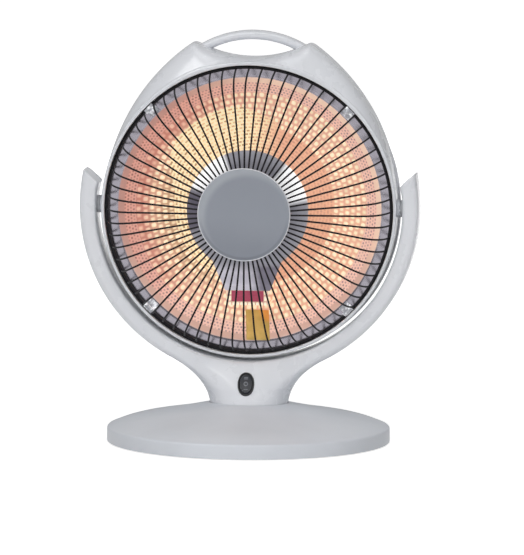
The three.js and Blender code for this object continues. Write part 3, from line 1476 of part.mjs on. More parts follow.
function shieldPlate() {
  const disc = turnedY(
    [
      [0, SHIELD_Y - SHIELD_SHEET],
      [SHIELD_RADIUS - SHIELD_EDGE, SHIELD_Y - SHIELD_SHEET],
      [SHIELD_RADIUS, SHIELD_Y],
      [SHIELD_RADIUS, SHIELD_Y + SHIELD_LIP],
      [SHIELD_RADIUS - SHIELD_SHEET, SHIELD_Y + SHIELD_LIP],
      [SHIELD_RADIUS - SHIELD_SHEET, SHIELD_Y],
      [0, SHIELD_Y],
    ],
    32,
  );
  const halfWidthAt = (below) =>
    THREE.MathUtils.mapLinear(
      below,
      STEM_NECK,
      STEM_END,
      STEM_TOP_HALF_WIDTH,
      STEM_END_HALF_WIDTH,
    );
  const rows = [
    [STEM_NECK / 2, STEM_TOP_HALF_WIDTH, SHIELD_Y],
    [STEM_NECK, STEM_TOP_HALF_WIDTH, SHIELD_Y],
    [STEM_BEND, halfWidthAt(STEM_BEND), SHIELD_Y],
    [STEM_LEAN_END, halfWidthAt(STEM_LEAN_END), stemEndY],
    [STEM_END, STEM_END_HALF_WIDTH, stemEndY],
  ];
  const stem = skin(
    rows.map(([below, halfWidth, y]) => [
      [-halfWidth, y - SHIELD_SHEET, -below],
      [halfWidth, y - SHIELD_SHEET, -below],
      [halfWidth, y, -below],
      [-halfWidth, y, -below],
    ]),
  );
  const postHole = rodY(
    POST_RADIUS + SEAT_GAP,
    SHIELD_Y - SHIELD_SHEET - OVERSHOOT,
    SHIELD_Y + OVERSHOOT,
  );
  return cut(join(disc, stem), postHole);
}

// The stud from the dish's middle, with a head before the shield.
function shieldPost() {
  const headStart = SHIELD_Y - SHIELD_SHEET - SEAT_GAP;
  return turnedY(
    [
      [0, headStart - POST_HEAD_HEIGHT],
      [POST_NUT_RADIUS, headStart - POST_HEAD_HEIGHT],
      [POST_NUT_RADIUS, headStart],
      [POST_RADIUS, headStart],
      [POST_RADIUS, dishY(0) + POST_END],
      [0, dishY(0) + POST_END],
    ],
    12,
  );
}

function postNut(front) {
  return hexNut(
    POST_NUT_RADIUS,
    POST_RADIUS + SEAT_GAP,
    -front - POST_NUT_HEIGHT,
    -front,
  ).rotateX(Math.PI / 2);
}

addPart(head, "lamp_shield", shieldPlate(), satinSteel);
addPart(head, "shield_post", shieldPost(), zincSteel);
addPart(head, "shield_post_nut", postNut(dishY(0) + DISH_SHEET / 2 + SEAT_GAP), zincSteel);
addPart(
  head,
  "insulating_strip",
  box(
    [
      -STRIP_WIDTH / 2,
      BRACKET_FRONT - SEAT_GAP - STRIP_THICKNESS,
      -STEM_END - SEAT_GAP - STRIP_HEIGHT,
    ],
    [STRIP_WIDTH / 2, BRACKET_FRONT - SEAT_GAP, -STEM_END - SEAT_GAP],
  ),
  redFibre,
);

// ---- Grille ----

// A wire's middle line in the plane of its angle: flat from the hub, then bent back to the ring.
const wireStart = new THREE.Vector3(HUB_RING_RADIUS - HUB_RING_WIRE + SEAT_GAP, HUB_Y, 0);
const bendStart = new THREE.Vector3(GRILLE_FLAT_RADIUS, HUB_Y + WIRE_LEAN, 0);
const wireBend = new THREE.CubicBezierCurve3(
  bendStart,
  bendStart.clone().add(new THREE.Vector3(...WIRE_BEND_START, 0)),
  new THREE.Vector3(RING_INNER_RADIUS - WIRE_BEND_END[0], HUB_Y + WIRE_BEND_END[1], 0),
  new THREE.Vector3(RING_INNER_RADIUS + RING_THICKNESS / 2, RING_Y, 0),
);

function grille() {
  const line = [wireStart, ...wireBend.getPoints(2)];
  const wires = Array.from({ length: WIRE_COUNT }, (_, i) => {
    const angle = (2 * Math.PI * i) / WIRE_COUNT;
    const sections = line.map((point, j) => {
      const before = line[Math.max(j - 1, 0)];
      const after = line[Math.min(j + 1, line.length - 1)];
      const along = after.clone().sub(before).normalize();
      return around(4, WIRE_RADIUS * SQUARE_WIRE_SHARE, 45).map(([sideways, across]) => {
        const radius = point.x - along.y * across;
        return [
          radius * Math.cos(angle) - sideways * Math.sin(angle),
          point.y + along.x * across,
          radius * Math.sin(angle) + sideways * Math.cos(angle),
        ];
      });
    });
    return skin(sections);
  });
  const ring = turnedY(
    [
      [RING_INNER_RADIUS, RING_FRONT],
      [RING_OUTER_RADIUS, RING_FRONT],
      [RING_OUTER_RADIUS, RING_BACK],
      [RING_INNER_RADIUS, RING_BACK],
      [RING_INNER_RADIUS, RING_FRONT],
    ],
    RING_FACETS,
  );
  const hubRing = turnedY(
    around(4, HUB_RING_WIRE * Math.SQRT2, 45)
      .map(([r, y]) => [HUB_RING_RADIUS + r, HUB_Y + y])
      .concat([[HUB_RING_RADIUS + HUB_RING_WIRE, HUB_Y + HUB_RING_WIRE]]),
    RING_FACETS / 2,
  );
  const clipNotches = CLIP_ANGLES.map((angle) => clipPlace(clipBlock(SEAT_GAP), angle));
  return cut(join(ring, hubRing, ...wires), ...clipNotches);
}

// The upright web of a clip, inside the ring; grow widens it. The clip's foot is riveted to the
// dish's flange, and its front lies over the ring.
function clipBlock(grow) {
  return box(
    [CLIP_WEB_RADIUS - grow, RING_FRONT - CLIP_SHEET - grow, -CLIP_WIDTH / 2 - grow],
    [
      CLIP_WEB_RADIUS + CLIP_SHEET + grow,
      FLANGE_FRONT - SEAT_GAP + grow,
      CLIP_WIDTH / 2 + grow,
    ],
  );
}

function clipPlace(geometry, angle) {
  return geometry.rotateY(-radians(angle));
}

function grilleClip(angle) {
  const front = box(
    [CLIP_WEB_RADIUS, RING_FRONT - CLIP_SHEET - SEAT_GAP, -CLIP_WIDTH / 2],
    [RING_OUTER_RADIUS - CLIP_FRONT_MARGIN, RING_FRONT - SEAT_GAP, CLIP_WIDTH / 2],
  );
  const foot = box(
    [CLIP_FOOT_RADIUS, FLANGE_FRONT - SEAT_GAP - CLIP_SHEET, -CLIP_WIDTH / 2],
    [CLIP_WEB_RADIUS + CLIP_SHEET, FLANGE_FRONT - SEAT_GAP, CLIP_WIDTH / 2],
  );
  return clipPlace(join(clipBlock(0), front, foot), angle);
}

function hubPlate() {
  const back = HUB_Y - HUB_RING_WIRE - SEAT_GAP;
  return turnedY(
    [
      [0, back - HUB_SHEET - HUB_EDGE_RISE],
      [HUB_RADIUS - HUB_EDGE_WIDTH, back - HUB_SHEET - HUB_EDGE_RISE],
      [HUB_RADIUS, back - HUB_SHEET],
      [HUB_RADIUS, back],
      [0, back],
    ],
    RING_FACETS,
  );
}

// Behind the wires, with a cup through the hub ring that is fixed to the plate in front.
function hubBacking() {
  const front = HUB_Y + HUB_RING_WIRE + SEAT_GAP;
  const cup = HUB_Y - HUB_RING_WIRE;
  return turnedY(
    [
      [0, cup],
      [HUB_CUP_RADIUS, cup],
      [HUB_CUP_RADIUS, front],
      [HUB_RADIUS - HUB_BACKING_MARGIN, front],
      [HUB_RADIUS - HUB_BACKING_MARGIN, front + HUB_SHEET],
      [HUB_CUP_RADIUS - HUB_SHEET, front + HUB_SHEET],
      [HUB_CUP_RADIUS - HUB_SHEET, cup + HUB_SHEET],
      [0, cup + HUB_SHEET],
    ],
    24,
  );
}

addPart(head, "grille", grille(), blackEnamel);
addPart(head, "hub_plate", hubPlate(), greyPaint);
addPart(head, "hub_backing", hubBacking(), greyPaint);
CLIP_ANGLES.forEach((angle, i) => {
  addPart(head, `grille_clip_${i + 1}`, grilleClip(angle), clearNylon);
});

// ---- Thermal cut-out and terminals behind the dish ----

function thermalCutout() {
  const back = dishY(CUTOUT_PLACE - CUTOUT_RADIUS) + DISH_SHEET;
  return rodY(CUTOUT_RADIUS, back, back + CUTOUT_HEIGHT, 16).translate(0, 0, CUTOUT_PLACE);
}

function terminalBlock() {
  const [width, depth, height] = TERMINAL_BLOCK_SIZE;
  const low = -SHELF_BELOW + SEAT_GAP;
  return box([-width / 2, BRACKET_BACK - depth, low], [width / 2, BRACKET_BACK, low + height]);
}

addPart(head, "thermal_cutout", thermalCutout(), zincSteel);
addPart(head, "terminal_block", terminalBlock(), ceramic);

export default heater;
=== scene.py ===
"""A table-top parabolic heater: a ring lamp before a dimpled bowl, behind a round guard of black
wires, in a white head that tilts in a forked yoke on a weighted disc base."""

import bpy
import numpy as np
from math import atan2, cos, pi, radians, sin
from mathutils import Matrix, Vector


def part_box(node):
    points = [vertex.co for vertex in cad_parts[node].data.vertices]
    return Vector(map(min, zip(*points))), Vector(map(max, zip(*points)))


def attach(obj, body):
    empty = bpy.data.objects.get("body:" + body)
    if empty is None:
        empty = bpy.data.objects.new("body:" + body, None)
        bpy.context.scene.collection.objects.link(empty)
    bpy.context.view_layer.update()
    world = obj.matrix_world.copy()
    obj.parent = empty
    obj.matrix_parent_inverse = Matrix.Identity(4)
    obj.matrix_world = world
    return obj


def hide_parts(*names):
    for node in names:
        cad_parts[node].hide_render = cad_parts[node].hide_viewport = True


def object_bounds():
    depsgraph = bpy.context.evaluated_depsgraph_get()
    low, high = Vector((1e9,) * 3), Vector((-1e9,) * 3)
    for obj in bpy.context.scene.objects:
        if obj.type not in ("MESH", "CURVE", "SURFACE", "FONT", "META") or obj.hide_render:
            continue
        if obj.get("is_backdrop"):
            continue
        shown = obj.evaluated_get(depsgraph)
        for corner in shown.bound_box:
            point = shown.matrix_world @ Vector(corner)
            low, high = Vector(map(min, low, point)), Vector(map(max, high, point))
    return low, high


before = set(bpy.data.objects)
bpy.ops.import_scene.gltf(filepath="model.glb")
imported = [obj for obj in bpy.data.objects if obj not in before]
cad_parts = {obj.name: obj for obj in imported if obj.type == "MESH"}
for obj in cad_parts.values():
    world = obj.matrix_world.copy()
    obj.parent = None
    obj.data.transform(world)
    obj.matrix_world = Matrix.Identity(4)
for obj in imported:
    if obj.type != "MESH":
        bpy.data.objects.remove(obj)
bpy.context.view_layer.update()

# ---- The base's cover ----
# A wide flat cone of glossy white plastic, moulded in one with its upright rim. It is screwed to
# the plate below, and the neck of the yoke sits in a round recess a little behind its middle.

MM = 0.001
BASE_RADIUS = 147
BASE_BOTTOM = 1.2
COVER_WALL = 2.6
CONE_FOOT = (143.4, 17.1)  # radius and height where the cone meets the rim's round
CONE_SLOPE = 0.2294
CONE_SWELL, SWELL_POWER = 2.2, 3
WIRE_HOLE_RADIUS = 20
RECESS_RADIUS = 41.3
RECESS_FLOOR = 38.5
CONE_RINGS = (58, 74, 88, 101, 113, 124, 134)  # radii where the swollen cone has a corner
INLET_GAP, INLET_FROM = 0.3, 120  # round the cord's inlet, and how far back its notch begins
PAST = 2  # how far a cutting tool reaches past what it cuts
YOKE_Y = 6  # the yoke's middle plane
CREASE = 38  # faces that meet at more degrees than this keep a crisp edge
MOULDED_WHITE, MOULDED_GREY = (0.735, 0.75, 0.785), (0.69, 0.705, 0.745)
SATIN_WHITE, SATIN_GREY = (0.66, 0.685, 0.73), (0.61, 0.635, 0.68)


def surface(name, grid, columns_meet=True, rows_meet=False, lids=False, facing=None):
    """A piece over points in millimetres, as (copies,) rows, columns and XYZ.

    Four neighbouring points make a face. Rows and columns may meet their first again, and lids
    close the first and the last row with a fan about its mean. Faces turn outwards by the sign of
    the volume they enclose, or towards the direction facing where the piece is a sheet."""
    grid = np.asarray(grid, float)
    grid = grid if grid.ndim == 4 else grid[None]
    copies, rows, columns = grid.shape[:3]
    row = np.arange(rows if rows_meet else rows - 1)[:, None]
    column = np.arange(columns if columns_meet else columns - 1)[None, :]
    here, below, beside = row * columns, (row + 1) % rows * columns, (column + 1) % columns
    quads = np.stack([here + column, here + beside, below + beside, below + column], -1)
    quads = quads.reshape(-1, 4)
    points = grid.reshape(copies, rows * columns, 3)
    fans = np.zeros((0, 3), int)
    if lids:
        rim, after = np.arange(columns), (np.arange(columns) + 1) % columns
        last, middle = (rows - 1) * columns, np.full(columns, rows * columns)
        first_fan = np.stack([middle, after, rim], -1)
        fans = np.concatenate([first_fan, np.stack([middle + 1, last + rim, last + after], -1)])
        means = np.stack([grid[:, 0].mean(1), grid[:, -1].mean(1)], 1)
        points = np.concatenate([points, means], 1)
    size = points.shape[1]
    corners = np.concatenate([quads[:, :3], quads[:, [0, 2, 3]], fans])
    a, b, c = (points[0] - points[0].mean(0))[corners].transpose(1, 0, 2)
    if facing is None:
        inwards = np.einsum("ij,ij->i", a, np.cross(b, c)).sum() < 0
    else:
        inwards = np.cross(b - a, c - a).sum(0) @ np.array(facing, float) < 0
    if inwards:
        quads, fans = quads[:, ::-1], fans[:, ::-1]
    starts = size * np.arange(copies)[:, None, None]
    faces = (quads + starts).reshape(-1, 4).tolist() + (fans + starts).reshape(-1, 3).tolist()
    mesh = bpy.data.meshes.new(name)
    mesh.from_pydata((points.reshape(-1, 3) * MM).tolist(), [], faces)
    mesh.shade_smooth()
    mesh.set_sharp_from_angle(angle=radians(CREASE))
    piece = bpy.data.objects.new(name, mesh)
    bpy.context.scene.collection.objects.link(piece)
    return piece


def rounded(corners, reach, closed=True, steps=5):
    """A line through corners, each cut back by its reach and bridged by a curve whose two handles
    meet in the corner: (1-t)^2 start + 2t(1-t) corner + t^2 end. An open line keeps its ends."""
    corners = np.asarray(corners, float)
    reach = np.broadcast_to(np.asarray(reach, float), len(corners))[:, None]
    before, after = np.roll(corners, 1, 0) - corners, np.roll(corners, -1, 0) - corners
    lengths = [np.linalg.norm(way, axis=1, keepdims=True) for way in (before, after)]
    start = corners + before * np.minimum(reach / lengths[0], 0.5)
    end = corners + after * np.minimum(reach / lengths[1], 0.5)
    t = np.linspace(0, 1, steps)[None, :, None]
    bridge = (1 - t) ** 2 * start[:, None] + 2 * t * (1 - t) * corners[:, None] + t**2 * end[:, None]
    if closed:
        return bridge.reshape(-1, 2)
    return np.concatenate([corners[:1], bridge[1:-1].reshape(-1, 2), corners[-1:]])


def once_round(steps):
    """Even angles once round."""
    return np.linspace(0, 2 * pi, steps, endpoint=False)


def turned(profile, steps, about="z"):
    """A profile of radius and height as rows of rings: (r cos a, r sin a, h) about the upright
    axis, (r cos a, h, r sin a) about the depth axis and (h, r cos a, r sin a) about the width."""
    angle = once_round(steps)
    radius, height = np.asarray(profile, float).T[:, :, None]
    first, second = radius * np.cos(angle), radius * np.sin(angle)
    along = height + 0 * first
    order = {"z": (first, second, along), "y": (first, along, second), "x": (along, first, second)}
    return np.stack(order[about], -1)


def carve(piece, tool):
    """Takes the tool's volume out of the piece with an exact Boolean, and keeps only the result."""
    cut = piece.modifiers.new("carve", "BOOLEAN")
    cut.operation, cut.solver, cut.object = "DIFFERENCE", "EXACT", tool
    graph = bpy.context.evaluated_depsgraph_get()
    whole, made = piece.data, bpy.data.meshes.new_from_object(piece.evaluated_get(graph))
    piece.modifiers.remove(cut)
    piece.data = made
    made.name = piece.name
    made.shade_smooth()
    made.set_sharp_from_angle(angle=radians(CREASE))
    shape = tool.data
    bpy.data.objects.remove(tool)
    bpy.data.meshes.remove(shape)
    bpy.data.meshes.remove(whole)


class Value:
    """A shader socket in a sum: each operator adds the Math node that works it out."""

    def __init__(self, finish, socket):
        self.finish, self.socket = finish, socket

    def math(self, operation, *others, first=None, clamped=False):
        terms = (self if first is None else first, *others)
        settings = {"operation": operation, "use_clamp": clamped}
        return self.finish.node("Math", settings, dict(enumerate(terms)))

    def __add__(self, other):
        return self.math("ADD", other)

    def __sub__(self, other):
        return self.math("SUBTRACT", other)

    def __rsub__(self, other):
        return self.math("SUBTRACT", self, first=other)

    def __mul__(self, other):
        return self.math("MULTIPLY", other)

    def __truediv__(self, other):
        return self.math("DIVIDE", other)

    def __rtruediv__(self, other):
        return self.math("DIVIDE", self, first=other)

    def __pow__(self, other):
        return self.math("POWER", other)

    def __abs__(self):
        return self.math("ABSOLUTE")

    __radd__, __rmul__ = __add__, __mul__

    def soft(self, low, high):
        """0 below low and 1 above high, with a smooth step between; the other way if low > high."""
        rising = low < high
        between = {"Value": self, "From Min": min(low, high), "From Max": max(low, high)}
        between |= {"To Min": 0 if rising else 1, "To Max": 1 if rising else 0}
        return self.finish.node("MapRange", {"interpolation_type": "SMOOTHSTEP"}, between)

    def mix(self, first, second):
        """From the first colour to the second as this goes from 0 to 1."""
        return self.finish.node("Mix", {"data_type": "RGBA"}, {0: self, 6: first, 7: second}, 2)


class Finish:
    """The nodes of one shader, Principled in a new material or that of the owner. Constants are
    set on its sockets, and what varies is linked to them. Colours are red, green and blue."""

    def __init__(self, name, owner=None, shader="Principled BSDF", **constants):
        self.material = owner or bpy.data.materials.new(name)
        self.material.use_nodes = True
        self.tree = self.material.node_tree
        self.shader = self.tree.nodes[shader]
        self.set(**constants)

    def feed(self, socket, value):
        if isinstance(value, Value):
            self.tree.links.new(value.socket, socket)
        else:
            socket.default_value = (*value, 1) if socket.type == "RGBA" else value

    def node(self, kind, settings=None, sockets=None, output=0):
        """A node of any type: its settings first, then the values or links of its sockets."""
        made = self.tree.nodes.new("ShaderNode" + kind)
        for setting, value in (settings or {}).items():
            setattr(made, setting, value)
        for socket, value in (sockets or {}).items():
            self.feed(made.inputs[socket], value)
        return Value(self, made.outputs[output])

    def place(self, about=(0, 0, 0)):
        """The three Object coordinates from a point in millimetres, in metres."""
        spot = self.node("TexCoord", output=3)
        centred = {0: spot, 1: tuple(MM * c for c in about)}
        moved = self.node("VectorMath", {"operation": "SUBTRACT"}, centred)
        return [self.node("SeparateXYZ", None, {0: moved}, axis) for axis in range(3)]

    def noise(self, scale, detail=2, roughness=0.5, stretch=(1, 1, 1)):
        spot = self.node("TexCoord", output=3)
        spot = self.node("Mapping", None, {"Vector": spot, "Scale": stretch})
        sockets = {"Vector": spot, "Scale": scale, "Detail": detail, "Roughness": roughness}
        return self.node("TexNoise", None, sockets)

    def bump(self, height, distance, strength=1):
        sockets = {"Height": height, "Distance": distance, "Strength": strength}
        self.set(Normal=self.node("Bump", None, sockets))

    def set(self, **inputs):
        for socket, value in inputs.items():
            self.feed(self.shader.inputs[socket.replace("_", " ")], value)


def cover(piece, finish):
    """Gives the whole piece one finish: a new piece gets a slot, a CAD node keeps its own."""
    if not piece.material_slots:
        piece.data.materials.append(finish.material)
    for slot in piece.material_slots:
        slot.material = finish.material


def dress(finish, *nodes):
    for node in nodes:
        cover(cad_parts[node], finish)


def moulded_white(name, white, grey, smoothest, **constants):
    """White plastic, faintly clouded between two tones, with a fine grain and a least roughness."""
    finish = Finish(name, IOR=1.5, **constants)
    cloud = finish.noise(9, detail=3)
    grain = finish.noise(950, detail=2)
    haze = finish.noise(34, detail=4, roughness=0.6)
    finish.set(Base_Color=cloud.soft(0.3, 0.75).mix(white, grey), Roughness=smoothest + 0.12 * haze)
    finish.bump(grain + 0.6 * haze, 0.00009, 0.5)
    return finish


white_plastic = moulded_white(
    "glossy white plastic", MOULDED_WHITE, MOULDED_GREY, 0.22, Coat_Weight=0.45, Coat_Roughness=0.08
)
satin_white = moulded_white("satin white plastic", SATIN_WHITE, SATIN_GREY, 0.36, Specular_IOR_Level=0.25)


def base_cover():
    """A closed profile of radius and height, carried round. The circles' centre moves from the
    neck's place to the base's own in proportion to the radius, and a point of the cone keeps the
    cone's height at its true distance from the base's axis: z + slope (r - |p|). The cone swells
    by sin(pi s^3) over the share s of its way from the recess to the rim."""
    foot, height = CONE_FOOT

    def cone(radius):
        share = (radius - RECESS_RADIUS) / (foot - RECESS_RADIUS)
        return height + CONE_SLOPE * (foot - radius) + CONE_SWELL * sin(pi * share**SWELL_POWER)

    inside = BASE_RADIUS - COVER_WALL
    corners = [
        (WIRE_HOLE_RADIUS, RECESS_FLOOR - COVER_WALL),
        (WIRE_HOLE_RADIUS, RECESS_FLOOR),
        (RECESS_RADIUS, RECESS_FLOOR),
        (RECESS_RADIUS, cone(RECESS_RADIUS)),
        *((radius, cone(radius)) for radius in CONE_RINGS),
        (foot - 0.5, height + 0.1),
        (BASE_RADIUS, height - 1.2),
        (BASE_RADIUS, BASE_BOTTOM),
        (inside, BASE_BOTTOM),
        (inside, height - 5),
        (foot - COVER_WALL, height - COVER_WALL),
        (RECESS_RADIUS + 3, RECESS_FLOOR - COVER_WALL),
    ]
    reach = [0.1, 0.1, 0.1, 0.5, *[4] * len(CONE_RINGS), 2.6, 2.2, 0.5, 0.3, 0.3, 0.5, 0.3]
    profile = rounded(corners, reach)
    grid = turned(profile, 240)
    radius = profile[:, 0][:, None]
    share = np.clip((radius - RECESS_RADIUS) / (foot - RECESS_RADIUS), 0, 1)
    grid[..., 1] += YOKE_Y * (1 - share)
    sloping = (profile[:, 1] > RECESS_FLOOR + 0.2) | (radius[:, 0] > RECESS_RADIUS + 3.5)
    true_radius = np.hypot(grid[..., 0], grid[..., 1])
    grid[..., 2] += np.where(sloping[:, None], CONE_SLOPE * (radius - true_radius), 0)
    return surface("base_cover_moulding", grid, rows_meet=True)


def block(low, high):
    """A box between two corners, as a cutting tool."""
    (x0, y0, z0), (x1, y1, z1) = low, high
    rows = [[(x0, y0, z), (x1, y0, z), (x1, y1, z), (x0, y1, z)] for z in (z0, z1)]
    return surface("cutter", rows, lids=True)


cover_moulding = base_cover()
gland_low, gland_high = (np.array(corner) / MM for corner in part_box("cord_gland"))
notch_low = (gland_low[0] - INLET_GAP, INLET_FROM, BASE_BOTTOM - PAST)
notch_high = (gland_high[0] + INLET_GAP, BASE_RADIUS + PAST, gland_high[2] + INLET_GAP)
carve(cover_moulding, block(notch_low, notch_high))
cover(cover_moulding, satin_white)
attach(cover_moulding, "stand")
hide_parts("base_cover")

# ---- Under the base ----
# A black plastic plate closes the base from below. It carries four rubber feet, three zinc-plated
# screws, the rubber inlet of the cord and, inside, the cast ring that weights the base.

black_plastic = Finish("satin black plastic", IOR=1.48)
sparkle = black_plastic.noise(700, detail=3)
drift = black_plastic.noise(22, detail=3)
black_plastic.set(
    Base_Color=drift.mix((0.012, 0.012, 0.014), (0.026, 0.026, 0.03)),
    Roughness=0.38 + 0.16 * drift,
)
black_plastic.bump(sparkle, 0.00012, 0.6)

rubber = Finish("matte black rubber", IOR=1.45)
dust = rubber.noise(60, detail=5, roughness=0.7)
rubber.set(
    Base_Color=dust.soft(0.45, 0.8).mix((0.013, 0.013, 0.014), (0.045, 0.044, 0.042)),
    Roughness=0.72 + 0.2 * dust,
)
rubber.bump(rubber.noise(420, detail=3), 0.0002, 0.7)

zinc = Finish("zinc-plated steel", Metallic=1.0)
crystals = zinc.noise(160, detail=4, roughness=0.65)
scratches = zinc.noise(90, detail=3, stretch=(1, 6, 1))
zinc.set(Base_Color=crystals.mix((0.42, 0.43, 0.45), (0.62, 0.62, 0.62)), Roughness=0.24 + 0.24 * scratches)
zinc.bump(crystals, 0.00008, 0.5)

cast_iron = Finish("sand-cast iron", Metallic=0.6)
sand = cast_iron.noise(300, detail=5, roughness=0.7)
cast_iron.set(Base_Color=sand.mix((0.045, 0.045, 0.048), (0.11, 0.105, 0.1)), Roughness=0.62 + 0.25 * sand)
cast_iron.bump(sand, 0.0006, 0.8)

dress(black_plastic, "base_plate")
dress(rubber, "cord_gland", *(f"rubber_foot_{i}" for i in (1, 2, 3, 4)))
dress(zinc, *(f"base_screw_{i}" for i in (1, 2, 3)))
dress(cast_iron, "ballast_ring")

# ---- The tip-over switch ----
# A plunger of white nylon stands on the floor through a hole in the plate. When the heater is
# lifted or falls, a small coil spring drives it out and the microswitch above it opens.

# The board glows faintly as emission: a painted glow.
red_fibre = Finish("crimson fibre board", IOR=1.5, Emission_Strength=0.1)
fibres = red_fibre.noise(260, detail=4, stretch=(1, 1, 5))
blotch = red_fibre.noise(70, detail=2)
crimson = fibres.mix((0.42, 0.05, 0.10), (0.60, 0.09, 0.16))
red_fibre.set(Base_Color=crimson, Emission_Color=crimson, Roughness=0.42 + 0.2 * blotch)
red_fibre.bump(fibres, 0.00015, 0.6)

dress(black_plastic, "tip_switch_housing")
dress(white_plastic, "tip_plunger")
dress(zinc, "tip_spring")
dress(red_fibre, "tip_microswitch")

# ---- The forked yoke and its neck ----
# Two mouldings of the same white plastic meet in the plane of the pivots: the fork's arms run
# down to a waisted neck that ends in the base's recess. Four screws from behind hold them.

PIVOT_Z = 245
FORK_INNER, FORK_OUTER = 159.5, 176.6
ARM_TIP, ARM_TIP_SLANT, ARM_PAD = 12.25, 3.7, 3.6  # degrees above the pivot
ARM_HOOK = 2
ARM_DEPTH, SADDLE_DEPTH = 20, 24  # from the meeting plane to the front
FLARE, SADDLE = 63.1, 73  # degrees below the pivot: the outline leaves the circle, the foot begins
FLARE_HANDLE, FOOT_HANDLE = 22, (2.4, 22)
ARM_END_SHARES = (0.86, 0.93, 0.97, 0.99)  # how far the first sections are drawn in
INNER_EDGE, OUTER_EDGE = (0.8, 2.5), (0.65, 6)  # depth left at an edge, and its round's width
YOKE_WELLS, YOKE_WELL_FLOOR = (12, 52), 11.7  # degrees below the pivot, and depth behind it
WELL_RADIUS = 3.7
NECK_RADIUS = 40.5
NECK_FOOT = -206.2  # below the pivot
SEAM_HALF_GAP = 0.15
SEAM_BEVEL = 0.45


def smooth(value, low, high):
    """A smooth step from 0 at low to 1 at high."""
    t = np.clip((value - low) / (high - low), 0, 1)
    return t * t * (3 - 2 * t)


def bezier(points, t):
    """Points at shares t of a curve from the first of four points to the last."""
    a, b, c, d = (np.asarray(p, float) for p in points)
    t = t[:, None]
    return (1 - t) ** 3 * a + 3 * t * (1 - t) ** 2 * b + 3 * t**2 * (1 - t) * c + t**3 * d


def quarter(share):
    """The height of a quarter circle over its radius, from 0 at its edge to 1."""
    return np.sqrt(1 - (1 - np.clip(share, 0, 1)) ** 2)


def unit(vectors):
    """Each vector at length 1."""
    return vectors / np.linalg.norm(vectors, axis=-1, keepdims=True)


def evenly(line, step):
    """A line's points again, at even steps along it."""
    way = np.concatenate([[0], np.cumsum(np.linalg.norm(np.diff(line, axis=0), axis=1))])
    even = np.linspace(0, way[-1], int(way[-1] / step))
    return np.stack([np.interp(even, way, line[:, axis]) for axis in (0, 1)], -1)


def polar(radius, degrees):
    """The two places (r cos a, r sin a)."""
    angle = np.radians(degrees)
    return np.stack([radius * np.cos(angle), radius * np.sin(angle)], -1)


